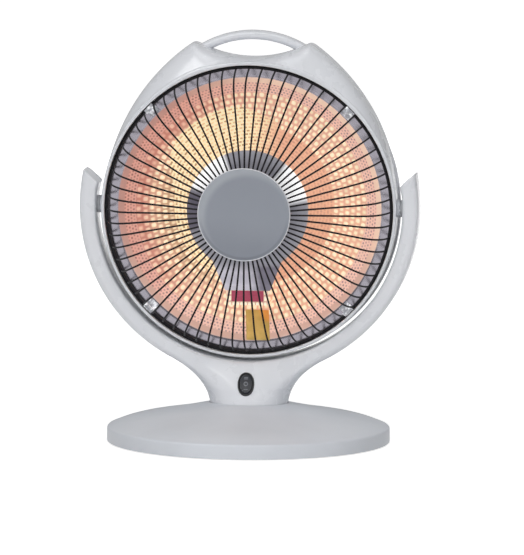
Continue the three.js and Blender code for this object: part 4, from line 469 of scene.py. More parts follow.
def yoke_half(name, towards):
    """Sections from one arm's end over the neck to the other's, each a loop across the fork.

    A section runs from a point of the inner circle to one of the outline: the outer circle, then
    a curve along its tangent down to the upright neck, then the neck's foot. Its depth is that of
    the arm with rounded edges, and turns on the neck into a superellipse of half width w and
    depth d, d (1 - |x/w|^p)^(1/p), whose power falls from 6 to 2 at the round foot."""
    start = polar(FORK_OUTER, -FLARE)
    tangent = polar(1, -90 - FLARE)
    neck = np.array([NECK_RADIUS, NECK_FOOT])
    flare = [start, start + FLARE_HANDLE * tangent, neck + FOOT_HANDLE, neck]
    tip = np.array([0, 0.05, 0.14, 0.28, 0.45, 1.4, 2.8, 4.6, 6.6, 8.4, ARM_TIP - ARM_PAD])
    arm = np.concatenate([np.linspace(ARM_PAD, -ARM_PAD, 5)[1:], -np.linspace(ARM_PAD, FLARE, 56)[1:]])
    t_flare, t_foot = np.linspace(0, 1, 37)[1:], np.linspace(0, 1, 25)[1:]
    outer_angle = np.concatenate([ARM_TIP - tip, arm])
    slant = ARM_TIP_SLANT * np.clip((outer_angle - ARM_PAD) / (ARM_TIP - ARM_PAD), 0, 1)
    inner_angle = outer_angle - slant
    flat = cos(radians(ARM_PAD)) / np.cos(np.radians(inner_angle))
    inner_radius = FORK_INNER * np.where(np.abs(inner_angle) < ARM_PAD, flat, 1)
    inner_radius = inner_radius - ARM_HOOK * smooth(inner_angle, ARM_PAD, ARM_TIP)
    to_saddle = -np.concatenate([FLARE + (SADDLE - FLARE) * t_flare, SADDLE + (90 - SADDLE) * t_foot])
    foot = np.stack([NECK_RADIUS * np.cos(t_foot * pi / 2), np.full(len(t_foot), NECK_FOOT)], -1)
    inner = np.concatenate([polar(inner_radius, inner_angle), polar(FORK_INNER, to_saddle)])
    outer = np.concatenate([polar(FORK_OUTER, outer_angle), bezier(flare, t_flare), foot])
    below = -np.concatenate([outer_angle, to_saddle])[:, None]
    on_arm, on_foot = np.zeros(len(outer_angle)), np.ones(len(t_foot))
    neck_share = np.concatenate([on_arm, smooth(t_flare, 0, 0.55), on_foot])[:, None]

    edge = quarter(np.linspace(0, 1, 6))[::-1]
    share = np.concatenate([(1 - edge) * 0.15, [0.22, 0.32, 0.42, 0.52, 0.6], 1 - (1 - edge[::-1]) * 0.36])
    p = inner[:, None] + (outer - inner)[:, None] * share[None, :, None]
    x, z = p[..., 0], p[..., 1]
    width = np.linalg.norm(outer - inner, axis=1)[:, None]
    ways = ((share * width, *INNER_EDGE), ((1 - share) * width, *OUTER_EDGE))
    inner_round, outer_round = (left + (1 - left) * quarter(way / reach) for way, left, reach in ways)
    arm_depth = ARM_DEPTH + (SADDLE_DEPTH - ARM_DEPTH) * smooth(below, 40, 90)
    fork_depth = arm_depth * np.minimum(inner_round, outer_round)
    line = bezier(flare, np.linspace(1, 0, 200))
    half_width = np.interp(z, line[:, 1], line[:, 0])
    rise = np.clip((z - NECK_FOOT) / (-FORK_INNER - NECK_FOOT), 0, 1)
    power = 2 + 4 * rise**2
    across = (1 - np.minimum(np.abs(x) / half_width, 1) ** power) ** (1 / power)
    neck_depth = (NECK_RADIUS - (NECK_RADIUS - SADDLE_DEPTH) * rise**1.3) * across * inner_round
    depth = fork_depth + (neck_depth - fork_depth) * neck_share
    depth = np.maximum(depth, SEAM_HALF_GAP + SEAM_BEVEL)

    inwards = (outer - inner) / width
    bevel = SEAM_BEVEL * inwards
    rim = np.stack([outer, outer - bevel, inner + bevel, inner], 1)
    rim_depth = SEAM_HALF_GAP + SEAM_BEVEL * np.array([1, 0, 0, 1])
    loop = np.concatenate([p, rim], 1)
    away = np.concatenate([depth, np.broadcast_to(rim_depth, (len(p), 4))], 1)
    right = np.stack([loop[..., 0], YOKE_Y + towards * away, PIVOT_Z + loop[..., 1]], -1)
    middle = right.mean(1, keepdims=True)
    end = np.ones(len(right))
    end[: len(ARM_END_SHARES)] = ARM_END_SHARES
    right = middle + (right - middle) * end[:, None, None]
    right[..., 1] = np.where(away < 1, YOKE_Y + towards * away, right[..., 1])
    left = right[-2::-1] * (-1, 1, 1)
    return surface(name, np.concatenate([right, left]), lids=True)


def rings_at(places, profile, steps):
    """Copies of a profile turned about the depth axis, at places of X and Z."""
    at = np.array([(x, 0, z) for x, z in places], float)
    return turned(profile, steps, "y") + at[:, None, None]


def rods(places, radius, low, high):
    """Cylinders as cutting tools at places of X and Z, from depth low to high."""
    return surface("cutter", rings_at(places, [(radius, low), (radius, high)], 24), lids=True)


yoke_front = yoke_half("yoke_front_moulding", -1)
yoke_rear = yoke_half("yoke_rear_moulding", 1)
arm_middle = (FORK_INNER + FORK_OUTER) / 2
arm_wells = [polar(arm_middle, -a) * (side, 1) + (0, PIVOT_Z) for side in (1, -1) for a in YOKE_WELLS]
carve(yoke_rear, rods(arm_wells, WELL_RADIUS, YOKE_Y + YOKE_WELL_FLOOR, YOKE_Y + SADDLE_DEPTH + PAST))
for piece, node in ((yoke_front, "yoke_front_shell"), (yoke_rear, "yoke_rear_shell")):
    cover(piece, white_plastic)
    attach(piece, "stand")
    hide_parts(node)
dress(zinc, "neck_clamp_ring", *(f"neck_screw_{i}" for i in (1, 2, 3)))
dress(zinc, *(f"yoke_screw_{i}" for i in (1, 2, 3, 4)))

# ---- The switch on the neck ----
# An oval black rocker in a raised oval frame, clipped into the sloping front of the neck. Its
# light printed marks are two lines for full heat, a ring for off and one line for half heat.

SWITCH_PLACE = (0, -27.48, 63)
SWITCH_TILT = 20.66
FRAME_HALF = (8.7, 12.6)
ROCKER_HALF = (6.5, 10)
OVAL_POWER = 2.15
ROCKER_FRONT, ROCKER_BACK, ROCKER_DISH = -1.5, 2.2, 0.65
FULL_MARKS, HALF_MARK, OFF_RING = (6.7, 5.3), -6, 1.9  # heights of the lines, radius of the ring


def on_neck(grid):
    """From the switch's own frame, which faces the front, to its place on the sloping neck."""
    c, s = polar(1, SWITCH_TILT)
    x, y, z = np.moveaxis(grid, -1, 0)
    return np.stack([x, y * c + z * s, z * c - y * s], -1) + SWITCH_PLACE


def oval(half, power, steps):
    """A superellipse: half width times cos|cos|^(2/p-1), half height times sin|sin|^(2/p-1)."""
    waves = np.cos(once_round(steps)), np.sin(once_round(steps))
    return [half[i] * np.sign(wave) * np.abs(wave) ** (2 / power) for i, wave in enumerate(waves)]


def ovals(half, insets, depths, steps=96):
    """Rows of ovals at depths, each drawn in by its inset."""
    rows = [oval((half[0] - inset, half[1] - inset), OVAL_POWER, steps) for inset in insets]
    x, z = np.array(rows).transpose(1, 0, 2)
    return np.stack([x, np.asarray(depths, float)[:, None] + 0 * x, z], -1)


frame_line = rounded(  # inset from the oval's edge, and depth
    [(8, -0.35), (1.9, -0.35), (1.6, -1.5), (0.35, -1.5), (0, -0.3), (0.1, 1.6), (7, 1.6)],
    [0, 0.3, 0.4, 0.5, 0.2, 0.2, 0],
    closed=False,
)
switch_frame = surface("switch_frame", on_neck(ovals(FRAME_HALF, *frame_line.T)), lids=True)
cover(switch_frame, black_plastic)
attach(switch_frame, "stand")
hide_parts("switch_bezel")

rocker_line = rounded(
    [(6.3, ROCKER_FRONT), (0.5, ROCKER_FRONT), (0, -1.0), (0.1, ROCKER_BACK), (6.3, ROCKER_BACK)],
    [0, 0.5, 0.4, 0.2, 0],
    closed=False,
)
rocker_face = ovals(ROCKER_HALF, np.linspace(6.2, 0.8, 9), np.full(9, ROCKER_FRONT))
rocker_grid = np.concatenate([rocker_face, ovals(ROCKER_HALF, *rocker_line[1:].T)])
front = rocker_grid[..., 1] < -0.9
rocker_grid[..., 1] -= front * ROCKER_DISH * np.abs(rocker_grid[..., 2] / ROCKER_HALF[1]) ** 1.6
switch_rocker = surface("rocker_cap", on_neck(rocker_grid), lids=True)

printed_rocker = Finish("glossy black plastic with printed marks", IOR=1.5, Coat_Weight=0.3)
across, depth, up = printed_rocker.place(SWITCH_PLACE)
up = (up * cos(radians(SWITCH_TILT)) + depth * sin(radians(SWITCH_TILT))) / MM
across = abs(across / MM)


def bar(middle):
    """A printed line across the rocker at a height above its middle."""
    return abs(up - middle).soft(0.5, 0.3) * across.soft(2.2, 1.9)


ring = abs((across**2 + up**2) ** 0.5 - OFF_RING).soft(0.5, 0.3)
marks = (bar(FULL_MARKS[0]) + bar(FULL_MARKS[1]) + ring + bar(HALF_MARK)).math("MINIMUM", 1)
scuffs = printed_rocker.noise(130, detail=4)
ink = marks * (0.75 + 0.25 * scuffs)
printed_rocker.set(
    Base_Color=ink.mix((0.007, 0.009, 0.016), (0.20, 0.21, 0.24)),
    Roughness=0.2 + 0.2 * scuffs,
)
printed_rocker.bump(scuffs, 0.00006, 0.5)
cover(switch_rocker, printed_rocker)
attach(switch_rocker, "rocker")
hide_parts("switch_rocker")
dress(zinc, "switch_terminals")

# ---- The head's two shells ----
# The front moulding is a deep ring that takes the wire guard in its mouth, and spreads upwards to
# two rounded shoulders with a hollow between them. The bowl-shaped rear moulding closes the back.

HEAD_Z = 242.5
BEZEL_RADIUS = 153.5
MOUTH_RADIUS = 150.2
BEZEL_FRONT = -14
SHELL_SEAM = 20
SHELL_WALL = 2.5
LIP_DEPTH, STRAIGHT_DEPTH = 2, 6  # the rounded lip, and the upright stretch before the seam
LEDGE_RADIUS, LEDGE_FRONT, LEDGE_BACK = 141, 0.4, 2.4  # the reflector's rim lies on it
RIB_HEIGHT, RIB_WIDTH = 2.1, 12  # a raised rib of the rear shell beside the seam
REAR_BACK = 98
REAR_ROUND = 64  # how far before the back the rear shell becomes upright
CROWN_SIDE_RADIUS, CROWN_START = 214, 4
CROWN_CORNER_X = 60.5
SADDLE_HEIGHT, SADDLE_RADIUS = 156.6, 124
SHOULDER_ROUND = 7
OUTLINE_STEPS, OUTLINE_STEP = 480, 0.25  # angles round the outline, and its averaging's step


def head_outline():
    """Radius about the head's axis at even angles, from the right over the top.

    A circle below runs at a tangent into two wider arcs, which end at the corners of the crown's
    hollow arc. The line is averaged over a short way, which rounds the corners alone."""
    spread = BEZEL_RADIUS - CROWN_SIDE_RADIUS
    side_middle = polar(spread, CROWN_START)
    corner = np.degrees(np.arccos((CROWN_CORNER_X - side_middle[0]) / CROWN_SIDE_RADIUS))
    side = side_middle + polar(CROWN_SIDE_RADIUS, np.linspace(CROWN_START, corner, 900))
    reach = np.degrees(np.arcsin(CROWN_CORNER_X / SADDLE_RADIUS))
    hollow = polar(SADDLE_RADIUS, -90 + np.linspace(reach, 0, 900)) + (0, SADDLE_HEIGHT + SADDLE_RADIUS)
    below = polar(BEZEL_RADIUS, np.linspace(-90, CROWN_START, 900))
    half = np.concatenate([below[:-1], side[:-1], hollow])
    line = np.concatenate([half, half[-2:0:-1] * (-1, 1)])
    steps = np.linalg.norm(np.roll(line, -1, 0) - line, axis=1)
    way = np.concatenate([[0], np.cumsum(steps)])
    even = np.arange(0, way[-1], OUTLINE_STEP)
    closed = np.concatenate([line, line[:1]])
    line = np.stack([np.interp(even, way, closed[:, axis]) for axis in (0, 1)], -1)
    half_window = int(SHOULDER_ROUND / OUTLINE_STEP / 2)
    for _ in range(2):
        padded = np.concatenate([line[-half_window:], line, line[:half_window]])
        total = np.concatenate([np.zeros((1, 2)), np.cumsum(padded, 0)])
        line = (total[2 * half_window + 1 :] - total[: -2 * half_window - 1]) / (2 * half_window + 1)
    angle, radius = np.arctan2(line[:, 1], line[:, 0]) % (2 * pi), np.hypot(*line.T)
    order = np.argsort(angle)
    wanted = once_round(OUTLINE_STEPS)
    return wanted, np.interp(wanted, angle[order], radius[order], period=2 * pi)


outline_angle, outline_radius = head_outline()


def round_head(name, radius, depth, **closing):
    """Rows of the outline's shape from radius and depth arrays of rows by outline angles."""
    x, z = radius * np.cos(outline_angle), HEAD_Z + radius * np.sin(outline_angle)
    return surface(name, np.stack([x, depth + 0 * x, z], -1), **closing)


def front_shell():
    """The outside rises from the lip to the outline as r = bezel + spread (1 - 0.9 (1-t)^3) while
    y goes evenly to the seam; the inside follows a wall's thickness behind, to the dish's ledge."""
    spread = outline_radius - BEZEL_RADIUS
    t = np.linspace(0, 1, 16)
    outside = BEZEL_RADIUS + spread * (1 - 0.9 * (1 - t[:, None]) ** 3)
    lip_end = BEZEL_FRONT + LIP_DEPTH
    outside_y = lip_end + (SHELL_SEAM - STRAIGHT_DEPTH - lip_end) * t
    lip = [(MOUTH_RADIUS, 2), (MOUTH_RADIUS, BEZEL_FRONT), (BEZEL_RADIUS - 1, BEZEL_FRONT)]
    lip = rounded(lip, [0, 0.8, 0], closed=False)
    turn = np.linspace(0, pi / 2, 6)[:-1]
    edge = BEZEL_RADIUS - 1 + (1 + 0.1 * spread) * np.sin(turn)[:, None]
    edge_y = lip_end - LIP_DEPTH * np.cos(turn)
    wall = BEZEL_RADIUS - SHELL_WALL
    same = np.ones(OUTLINE_STEPS)
    rows = [
        *(r * same for r in lip[:-1, 0]),
        *edge,
        *outside,
        outline_radius,
        outline_radius - 0.4,
        outline_radius - SHELL_WALL,
        wall + 0.7 * spread,
        wall * same,
        LEDGE_RADIUS * same,
        LEDGE_RADIUS * same,
    ]
    seam = SHELL_SEAM - SEAM_HALF_GAP
    ends = [seam - 0.4, seam, seam, LEDGE_BACK + 3, LEDGE_BACK, LEDGE_BACK, LEDGE_FRONT]
    depth = np.concatenate([lip[:-1, 1], edge_y, outside_y, ends])[:, None]
    return round_head("head_front_moulding", np.array(rows), depth, rows_meet=True)


def rear_shell():
    """y = back - round (1 - (1 - s^4)^0.69) over the outline's share s, then upright to the seam.
    The inside is the same line moved in by the wall's thickness along its own normals. Beside the
    seam, where the outline is the circle, a rib stands out by height sqrt(sin(pi t))."""
    s = np.sin(np.linspace(0.02, 1, 40) * pi / 2)
    y = REAR_BACK - REAR_ROUND * (1 - (1 - s**4) ** 0.69)
    s, y = np.append(s, np.ones(10)), np.append(y, SHELL_SEAM + np.linspace(RIB_WIDTH, SEAM_HALF_GAP, 10))
    ds, dy = np.gradient(s * BEZEL_RADIUS), np.gradient(y)
    length = np.hypot(ds, dy)
    inside = s[:, None] * outline_radius + SHELL_WALL * (dy / length)[:, None]
    inside_y = y - SHELL_WALL * ds / length
    inside_y[-1] = y[-1]
    rib = RIB_HEIGHT * np.sqrt(np.sin(pi * np.clip((y - SHELL_SEAM) / RIB_WIDTH, 0, 1)))[:, None]
    on_circle = 1 - smooth(outline_radius - BEZEL_RADIUS, 0.2, 4)
    radius = np.concatenate([s[:, None] * outline_radius + rib * on_circle, inside[::-1]])
    depth = np.concatenate([y, inside_y[::-1]])[:, None]
    return round_head("head_rear_moulding", np.maximum(radius, 0.5), depth, lids=True)


head_front = front_shell()
head_rear = rear_shell()

VENTS, VENT_CIRCLE, VENT_HALF_LENGTH, VENT_HALF_WIDTH = 12, 84, 17, 2
VENT_FROM = 60  # depth where the cutting tools begin
half_round = polar(VENT_HALF_WIDTH, np.linspace(-90, 90, 9)) + (VENT_HALF_LENGTH - VENT_HALF_WIDTH, 0)
stadium = np.concatenate([half_round, -half_round]) + (VENT_CIRCLE, 0)
vent_turn = np.radians((np.arange(VENTS) + 0.5) * 360 / VENTS)[:, None]
vent_x = stadium[:, 0] * np.cos(vent_turn) - stadium[:, 1] * np.sin(vent_turn)
vent_z = HEAD_Z + stadium[:, 0] * np.sin(vent_turn) + stadium[:, 1] * np.cos(vent_turn)
vent_rows = [np.stack([vent_x, 0 * vent_x + y, vent_z], -1) for y in (VENT_FROM, REAR_BACK + PAST)]
carve(head_rear, surface("cutter", np.stack(vent_rows, 1), lids=True))
WELL_ANGLES, WELL_MARGIN = np.array([32, 148, 212, 328]), 9.5
WELL_OUTER, WELL_TOP, WELL_FLOOR, WELL_FOOT = 5.2, 51, SHELL_SEAM + 5.7, SHELL_SEAM + 0.2
SCREW_HOLE = 1.9
well_circle = np.interp(np.radians(WELL_ANGLES), outline_angle, outline_radius) - WELL_MARGIN
head_wells = polar(well_circle, WELL_ANGLES) + (0, HEAD_Z)
carve(head_rear, rods(head_wells, WELL_RADIUS, WELL_FLOOR, REAR_BACK))
well_line = [(WELL_OUTER, WELL_FOOT), (WELL_OUTER, WELL_TOP), (WELL_RADIUS, WELL_TOP)]
well_line += [(WELL_RADIUS, WELL_FLOOR), (SCREW_HOLE, WELL_FLOOR), (SCREW_HOLE, WELL_FOOT)]
screw_wells = surface("head_screw_wells", rings_at(head_wells, well_line, 24), rows_meet=True)

BOSS_RADIUS, BOSS_FROM, BOSS_END = 9.4, 150, 156.2
boss_line = [(0.5, BOSS_FROM), (BOSS_RADIUS, BOSS_FROM), (BOSS_RADIUS, BOSS_END), (0.5, BOSS_END)]
boss_line = rounded(boss_line, [0, 0.2, 0.9, 0], closed=False)
boss = turned(boss_line, 64, "x") + (0, YOKE_Y, PIVOT_Z)
bosses = surface("pivot_bosses", np.stack([boss, boss * (-1, 1, 1)]), lids=True)
for piece in (head_front, head_rear, screw_wells, bosses):
    cover(piece, white_plastic)
    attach(piece, "head")
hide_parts("head_front_shell")
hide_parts("head_rear_shell")
dress(zinc, *(f"head_screw_{i}" for i in (1, 2, 3, 4)))
dress(zinc, *(f"pivot_{part}_{side}" for part in ("bolt", "nut") for side in ("left", "right")))
pale_rubber = Finish("pale grey rubber", IOR=1.45)
bloom = pale_rubber.noise(180, detail=4)
pale_rubber.set(Base_Color=bloom.mix((0.50, 0.51, 0.53), (0.62, 0.63, 0.65)), Roughness=0.55 + 0.2 * bloom)
pale_rubber.bump(bloom, 0.00015, 0.6)
dress(pale_rubber, "friction_washer_left", "friction_washer_right")

# ---- The carry handle ----
# A round-edged bar of the white plastic, bent to an arc. Its ends run into the two shoulders,
# where the rear shell holds them, and the fingers pass below it over the crown's hollow.

HANDLE_RADIUS, HANDLE_TOP = 103, 183.7
HANDLE_HALF, HANDLE_POWER = (5, 10), 2.7
HANDLE_MIDDLE_Y, HANDLE_SPREAD = 33, 37  # depth, and degrees to each side
handle_turn = np.radians(np.linspace(-HANDLE_SPREAD, HANDLE_SPREAD, 81))[:, None]
out, back = oval(HANDLE_HALF, HANDLE_POWER, 40)
handle_x = (HANDLE_RADIUS + out) * np.sin(handle_turn)
handle_y = HANDLE_MIDDLE_Y + back + 0 * handle_turn
handle_z = HEAD_Z + HANDLE_TOP - HANDLE_HALF[0] - HANDLE_RADIUS * (1 - np.cos(handle_turn))
handle_z = handle_z + out * np.cos(handle_turn)
handle_grid = np.stack([handle_x, handle_y, handle_z], -1)
handle = surface("carry_handle_bar", handle_grid, lids=True)
cover(handle, white_plastic)
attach(handle, "head")
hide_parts("carry_handle")

# ---- The reflector ----
# A bowl of thin polished aluminium, pressed with rings of small dimples that spread the heat. Its
# colours are a painted glow of the lamp, from yellow near the lamp to salmon, with painted highlights
# on the dimples and painted shade between them, and its flat silver rim lies on a ledge.

DISH_RADIUS, DISH_DEPTH, DISH_RIM_Y, DISH_SHEET = 137, 68, -0.7, 0.8
FLANGE_RADIUS = 148.6
DIMPLE_ZONES = (  # from, to, rings, dimples in a ring, height in millimetres
    (50, 83, 9, 108, 0.28),
    (83, 121, 6, 108, 0.62),
    (121, 132, 4, 216, 0.18),
)
DISH_STEPS = 864  # eight to a dimple of 108, four to one of 216
RING_STEPS = (4, 6, 3)  # rows of points across a ring of each zone
FLANGE_MIDDLE, BACK_RINGS = 142, 10
MIDDLE_RINGS, RIM_RINGS = (2, 25, 49), (132.2, 134.5, 136.8, 137.3, 140, 144, 148, FLANGE_RADIUS)


def dish_depth(radius):
    """The bowl is a paraboloid: rim + depth (1 - (r/R)^2), flat beyond its edge."""
    return DISH_RIM_Y + DISH_DEPTH * np.maximum(1 - (radius / DISH_RADIUS) ** 2, 0)


def reflector():
    """Front and back of the sheet as rings. A dimple is sin^2 of its share across its ring times
    cos^2 of that along it, and each second ring is turned by half a dimple."""
    angle = once_round(DISH_STEPS)
    radius, relief = [np.array(MIDDLE_RINGS, float)], [np.zeros((len(MIDDLE_RINGS), DISH_STEPS))]
    for (start, end, rings, count, height), steps in zip(DIMPLE_ZONES, RING_STEPS):
        v = np.arange(rings * steps) / steps
        ring = np.floor(v)
        u = angle[None] * count / (2 * pi) + 0.5 * (ring[:, None] % 2)
        lump = (np.sin(pi * (v - ring)) ** 2)[:, None] * np.cos(pi * u) ** 2
        radius.append(start + (end - start) * v / rings)
        relief.append(lump)
    heights = [0] + [zone[4] for zone in DIMPLE_ZONES]
    rise = np.concatenate([lump * height for lump, height in zip(relief, heights)])
    radius = np.concatenate(radius)
    front = np.concatenate([radius, RIM_RINGS])
    bare = np.zeros((len(RIM_RINGS), DISH_STEPS))
    bowl_back = np.linspace(DISH_RADIUS, MIDDLE_RINGS[0], BACK_RINGS)
    behind = np.concatenate([[FLANGE_RADIUS, FLANGE_MIDDLE], bowl_back])
    y = dish_depth(front)[:, None] - np.concatenate([rise, bare])
    y_behind = dish_depth(behind)[:, None] + DISH_SHEET + np.zeros((len(behind), DISH_STEPS))
    r = np.concatenate([front, behind])[:, None]
    y = np.concatenate([y, y_behind])
    grid = np.stack([r * np.cos(angle), y, HEAD_Z + r * np.sin(angle)], -1)
    piece = surface("reflector_bowl", grid, lids=True)
    rows = len(front) + len(behind)
    in_front = np.append(np.repeat(np.arange(rows) < len(front), DISH_STEPS), [False, False])
    marks = piece.data.attributes.new("glow", "FLOAT", "POINT")
    marks.data.foreach_set("value", in_front.astype(np.float32))
    return piece


# Colours of the bowl's painted glow, all painted reflections of the lamp: CREAM is a painted highlight on a
# dimple, the DOT, GAP and DASH tones are darker painted shade round and between the dimples, and the LEFT,
# RED and LOW tones are the painted glow's darker shade on the left and at the bottom.
CREAM = (0.97, 0.85, 0.64)
YELLOW, YELLOW_DOT = (0.93, 0.83, 0.58), (0.40, 0.30, 0.17)
ORANGE, ORANGE_DOT = (0.69, 0.42, 0.30), (0.54, 0.30, 0.23)
GAP, GAP_LEFT, GAP_RED = (0.61, 0.39, 0.31), (0.55, 0.34, 0.25), (0.50, 0.22, 0.18)
BLUSH, BLUSH_LEFT = (0.76, 0.52, 0.45), (0.64, 0.36, 0.31)
DASH, DASH_LEFT = (0.30, 0.20, 0.22), (0.30, 0.12, 0.11)
RIM_PINK, RIM_LEFT, RIM_LOW = (0.76, 0.57, 0.47), (0.47, 0.27, 0.24), (0.54, 0.36, 0.31)
SILVER, SILVER_LIGHT = (0.28, 0.265, 0.30), (0.36, 0.34, 0.385)
NEAR_END, MIDDLE_END, OUTER_END = (82, 85), (119.8, 121), (130.8, 131.8)  # where zones meet
GLOW_EDGE = (137.5, 136.7)  # from the bare rim to the bowl's painted glow
UPPER_REACH = 22  # how much further out the painted yellow glow nearest to the lamp goes at the top
aluminium = Finish("dimpled aluminium with painted lamp glow", Emission_Strength=0.42)


def squares(zone, across=(0.5, 0.08), along=(0.5, 0.06)):
    """A zone's dimples as soft spots between two shares of a cell across and along the ring, with
    a chance number from 0 to 1 for each of them."""
    start, end, rings, count, _ = zone
    row = (radius - start) * (rings / (end - start))
    ring = row.math("FLOOR")
    column = turn * count + ring.math("FLOORED_MODULO", 2) * 0.5 + 0.5
    cell = column.math("FLOOR")
    shape = abs(row - ring - 0.5).soft(*across) * abs(column - cell - 0.5).soft(*along)
    spot = aluminium.node("CombineXYZ", None, {0: ring, 1: cell, 2: count})
    return shape, aluminium.node("TexWhiteNoise", None, {"Vector": spot})


x, _, z = aluminium.place((0, 0, HEAD_Z))
radius = (x**2 + z**2) ** 0.5 / MM
over, high = x / MM / radius, z / MM / radius
turn = z.math("ARCTAN2", x) / (2 * pi)
# Masks of the painted glow: yellow towards the upper left, redder and darker as painted shade on the left,
# and more orange at the lower right.
patches = aluminium.noise(30, detail=4, roughness=0.6)
painted_yellow_side = (0.26 * high - 0.97 * over + 0.5 * (patches - 0.5)).soft(-0.2, 0.45)
left = (0.3 * high - 0.95 * over + 0.4 * (patches - 0.5)).soft(0.1, 0.9)
lower_right = (0.8 * over - 0.6 * high + 0.4 * (patches - 0.5)).soft(0.3, 0.95)
fine, fine_chance = squares(DIMPLE_ZONES[0], (0.42, 0.16), (0.45, 0.3))
broad, broad_chance = squares(DIMPLE_ZONES[1])
dash, dash_chance = squares(DIMPLE_ZONES[2])

near = painted_yellow_side.mix(ORANGE, YELLOW)
near_dot = painted_yellow_side.mix(ORANGE_DOT, YELLOW_DOT)
near = (fine * (0.3 + 0.7 * fine_chance)).mix(near, near_dot)
red = left * radius.soft(103, 114)
gap = left.mix((lower_right * 0.7).mix(GAP, ORANGE), GAP_LEFT)
gap = (painted_yellow_side * radius.soft(104, 86) * 0.65).mix(gap, YELLOW_DOT)
gap = red.mix(gap, GAP_RED)
# Painted highlights: the middle zone's dimples are painted cream, brighter or duller by chance, on the
# darker painted shade between them.
bright = (red * 0.75).mix(CREAM, BLUSH_LEFT)
lit_share = broad * (0.35 + 0.9 * broad_chance) * (0.55 + 0.9 * patches)
middle = (1.35 * lit_share).math("MINIMUM", 1).mix(gap, bright)
outer = left.mix(BLUSH, BLUSH_LEFT)
outer_dash = left.mix(DASH, DASH_LEFT)
outer = (dash * (0.4 + 0.6 * dash_chance)).mix(outer, outer_dash)
edge = left.mix(RIM_PINK, RIM_LEFT)
edge = high.soft(-0.1, -0.6).mix(edge, RIM_LOW)
upper = high.soft(0.1, 0.7) * painted_yellow_side
flame = (radius - UPPER_REACH * upper).soft(*NEAR_END).mix(near, middle)
flame = radius.soft(*MIDDLE_END).mix(flame, outer)
flame = radius.soft(*OUTER_END).mix(flame, edge)
# The painted glow covers the front of the bowl inside its bare rim, in base colour and as emission.
facing = aluminium.node("Attribute", {"attribute_name": "glow"}, output=2)
painted_glow_area = facing * radius.soft(*GLOW_EDGE)
brushing = aluminium.noise(120, detail=3, stretch=(1, 1, 4))
aluminium.set(
    Base_Color=painted_glow_area.mix(brushing.mix(SILVER, SILVER_LIGHT), flame),
    Emission_Color=painted_glow_area.mix((0, 0, 0), flame),
    Metallic=1 - 0.65 * painted_glow_area,
    Roughness=0.13 + 0.08 * brushing + 0.36 * painted_glow_area,
)
aluminium.bump(brushing, 0.00004, 0.4)
bowl = reflector()
cover(bowl, aluminium)
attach(bowl, "head")
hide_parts("reflector_dish")

# ---- The blank plate on the reflector ----
# A small rectangle of yellow lacquered foil, pressed on the bowl near its lower edge. It is bare.

PATCH_X, PATCH_Z, PATCH_SLANT = (-6.2, 18.3), (-136.5, -108), 3.7
PATCH_LIFT, PATCH_SHEET = 0.5, 0.25
patch_x, patch_z = np.meshgrid(np.linspace(*PATCH_X, 15), np.linspace(*PATCH_Z, 19))
patch_x = patch_x + PATCH_SLANT * (PATCH_Z[1] - patch_z) / (PATCH_Z[1] - PATCH_Z[0])
patch_y = dish_depth(np.hypot(patch_x, patch_z)) - PATCH_LIFT
patch = surface(
    "blank_yellow_plate",
    np.stack([patch_x, patch_y, HEAD_Z + patch_z], -1),
    columns_meet=False,
    facing=(0, -1, 0),
)
sheet = patch.modifiers.new("sheet", "SOLIDIFY")
sheet.thickness, sheet.offset = PATCH_SHEET * MM, 1
# The foil glows a little as emission, a painted glow of the lamp's light, and turns orange towards its
# upper corner.
lacquer = Finish("yellow lacquered foil", IOR=1.5, Emission_Strength=0.2)
mottle = lacquer.noise(75, detail=3)
x, _, z = lacquer.place((PATCH_X[1], 0, HEAD_Z + PATCH_Z[1]))
corner = ((x**2 + z**2) ** 0.5 / MM + 8 * (mottle - 0.5)).soft(13, 5)
amber = mottle.soft(0.3, 0.7).mix((0.48, 0.32, 0.08), (0.62, 0.42, 0.13))
amber = (corner * 0.8).mix(amber, (0.80, 0.30, 0.06))
lacquer.set(Base_Color=amber, Emission_Color=amber, Roughness=0.35 + 0.2 * mottle)
lacquer.bump(mottle, 0.0002, 0.4)
cover(patch, lacquer)
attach(patch, "head")

# ---- The ring lamp ----
# A quartz tube bent to a ring with two upright legs, round a coiled heating wire. Each leg ends in
# a ceramic cap on a bent bracket that passes through the bowl.

LAMP_Y, LAMP_RING, LAMP_TUBE = -7, 46, 5
LEG_X, LEG_END, LEG_TOP = 13, 78.7, 58
LAMP_JOIN = -58  # degrees, where a leg's bend meets the ring
LEG_HANDLE, RING_HANDLE = 8, 7
COIL_RADIUS, COIL_WIRE, COIL_STEPS = 1.1, 0.32, 6  # steps in one turn of the winding
STAMP_PITCH = (4.1, 6.3)  # width and height of the bracket's stamped pattern


def lamp_line(step):
    """Up one leg, over a bend into the ring, round it and down the other leg, at even steps."""
    begin = polar(LAMP_RING, LAMP_JOIN)
    along = polar(1, LAMP_JOIN - 90)
    bend = [(LEG_X, -LEG_TOP), (LEG_X, LEG_HANDLE - LEG_TOP), begin + RING_HANDLE * along, begin]
    right = np.concatenate([[(LEG_X, -LEG_END)], bezier(bend, np.linspace(0, 1, 40))])
    ring = polar(LAMP_RING, np.linspace(LAMP_JOIN, 90, 200)[1:])
    half = np.concatenate([right, ring])
    line = np.concatenate([half, half[-2::-1] * (-1, 1)])
    return evenly(line, step)


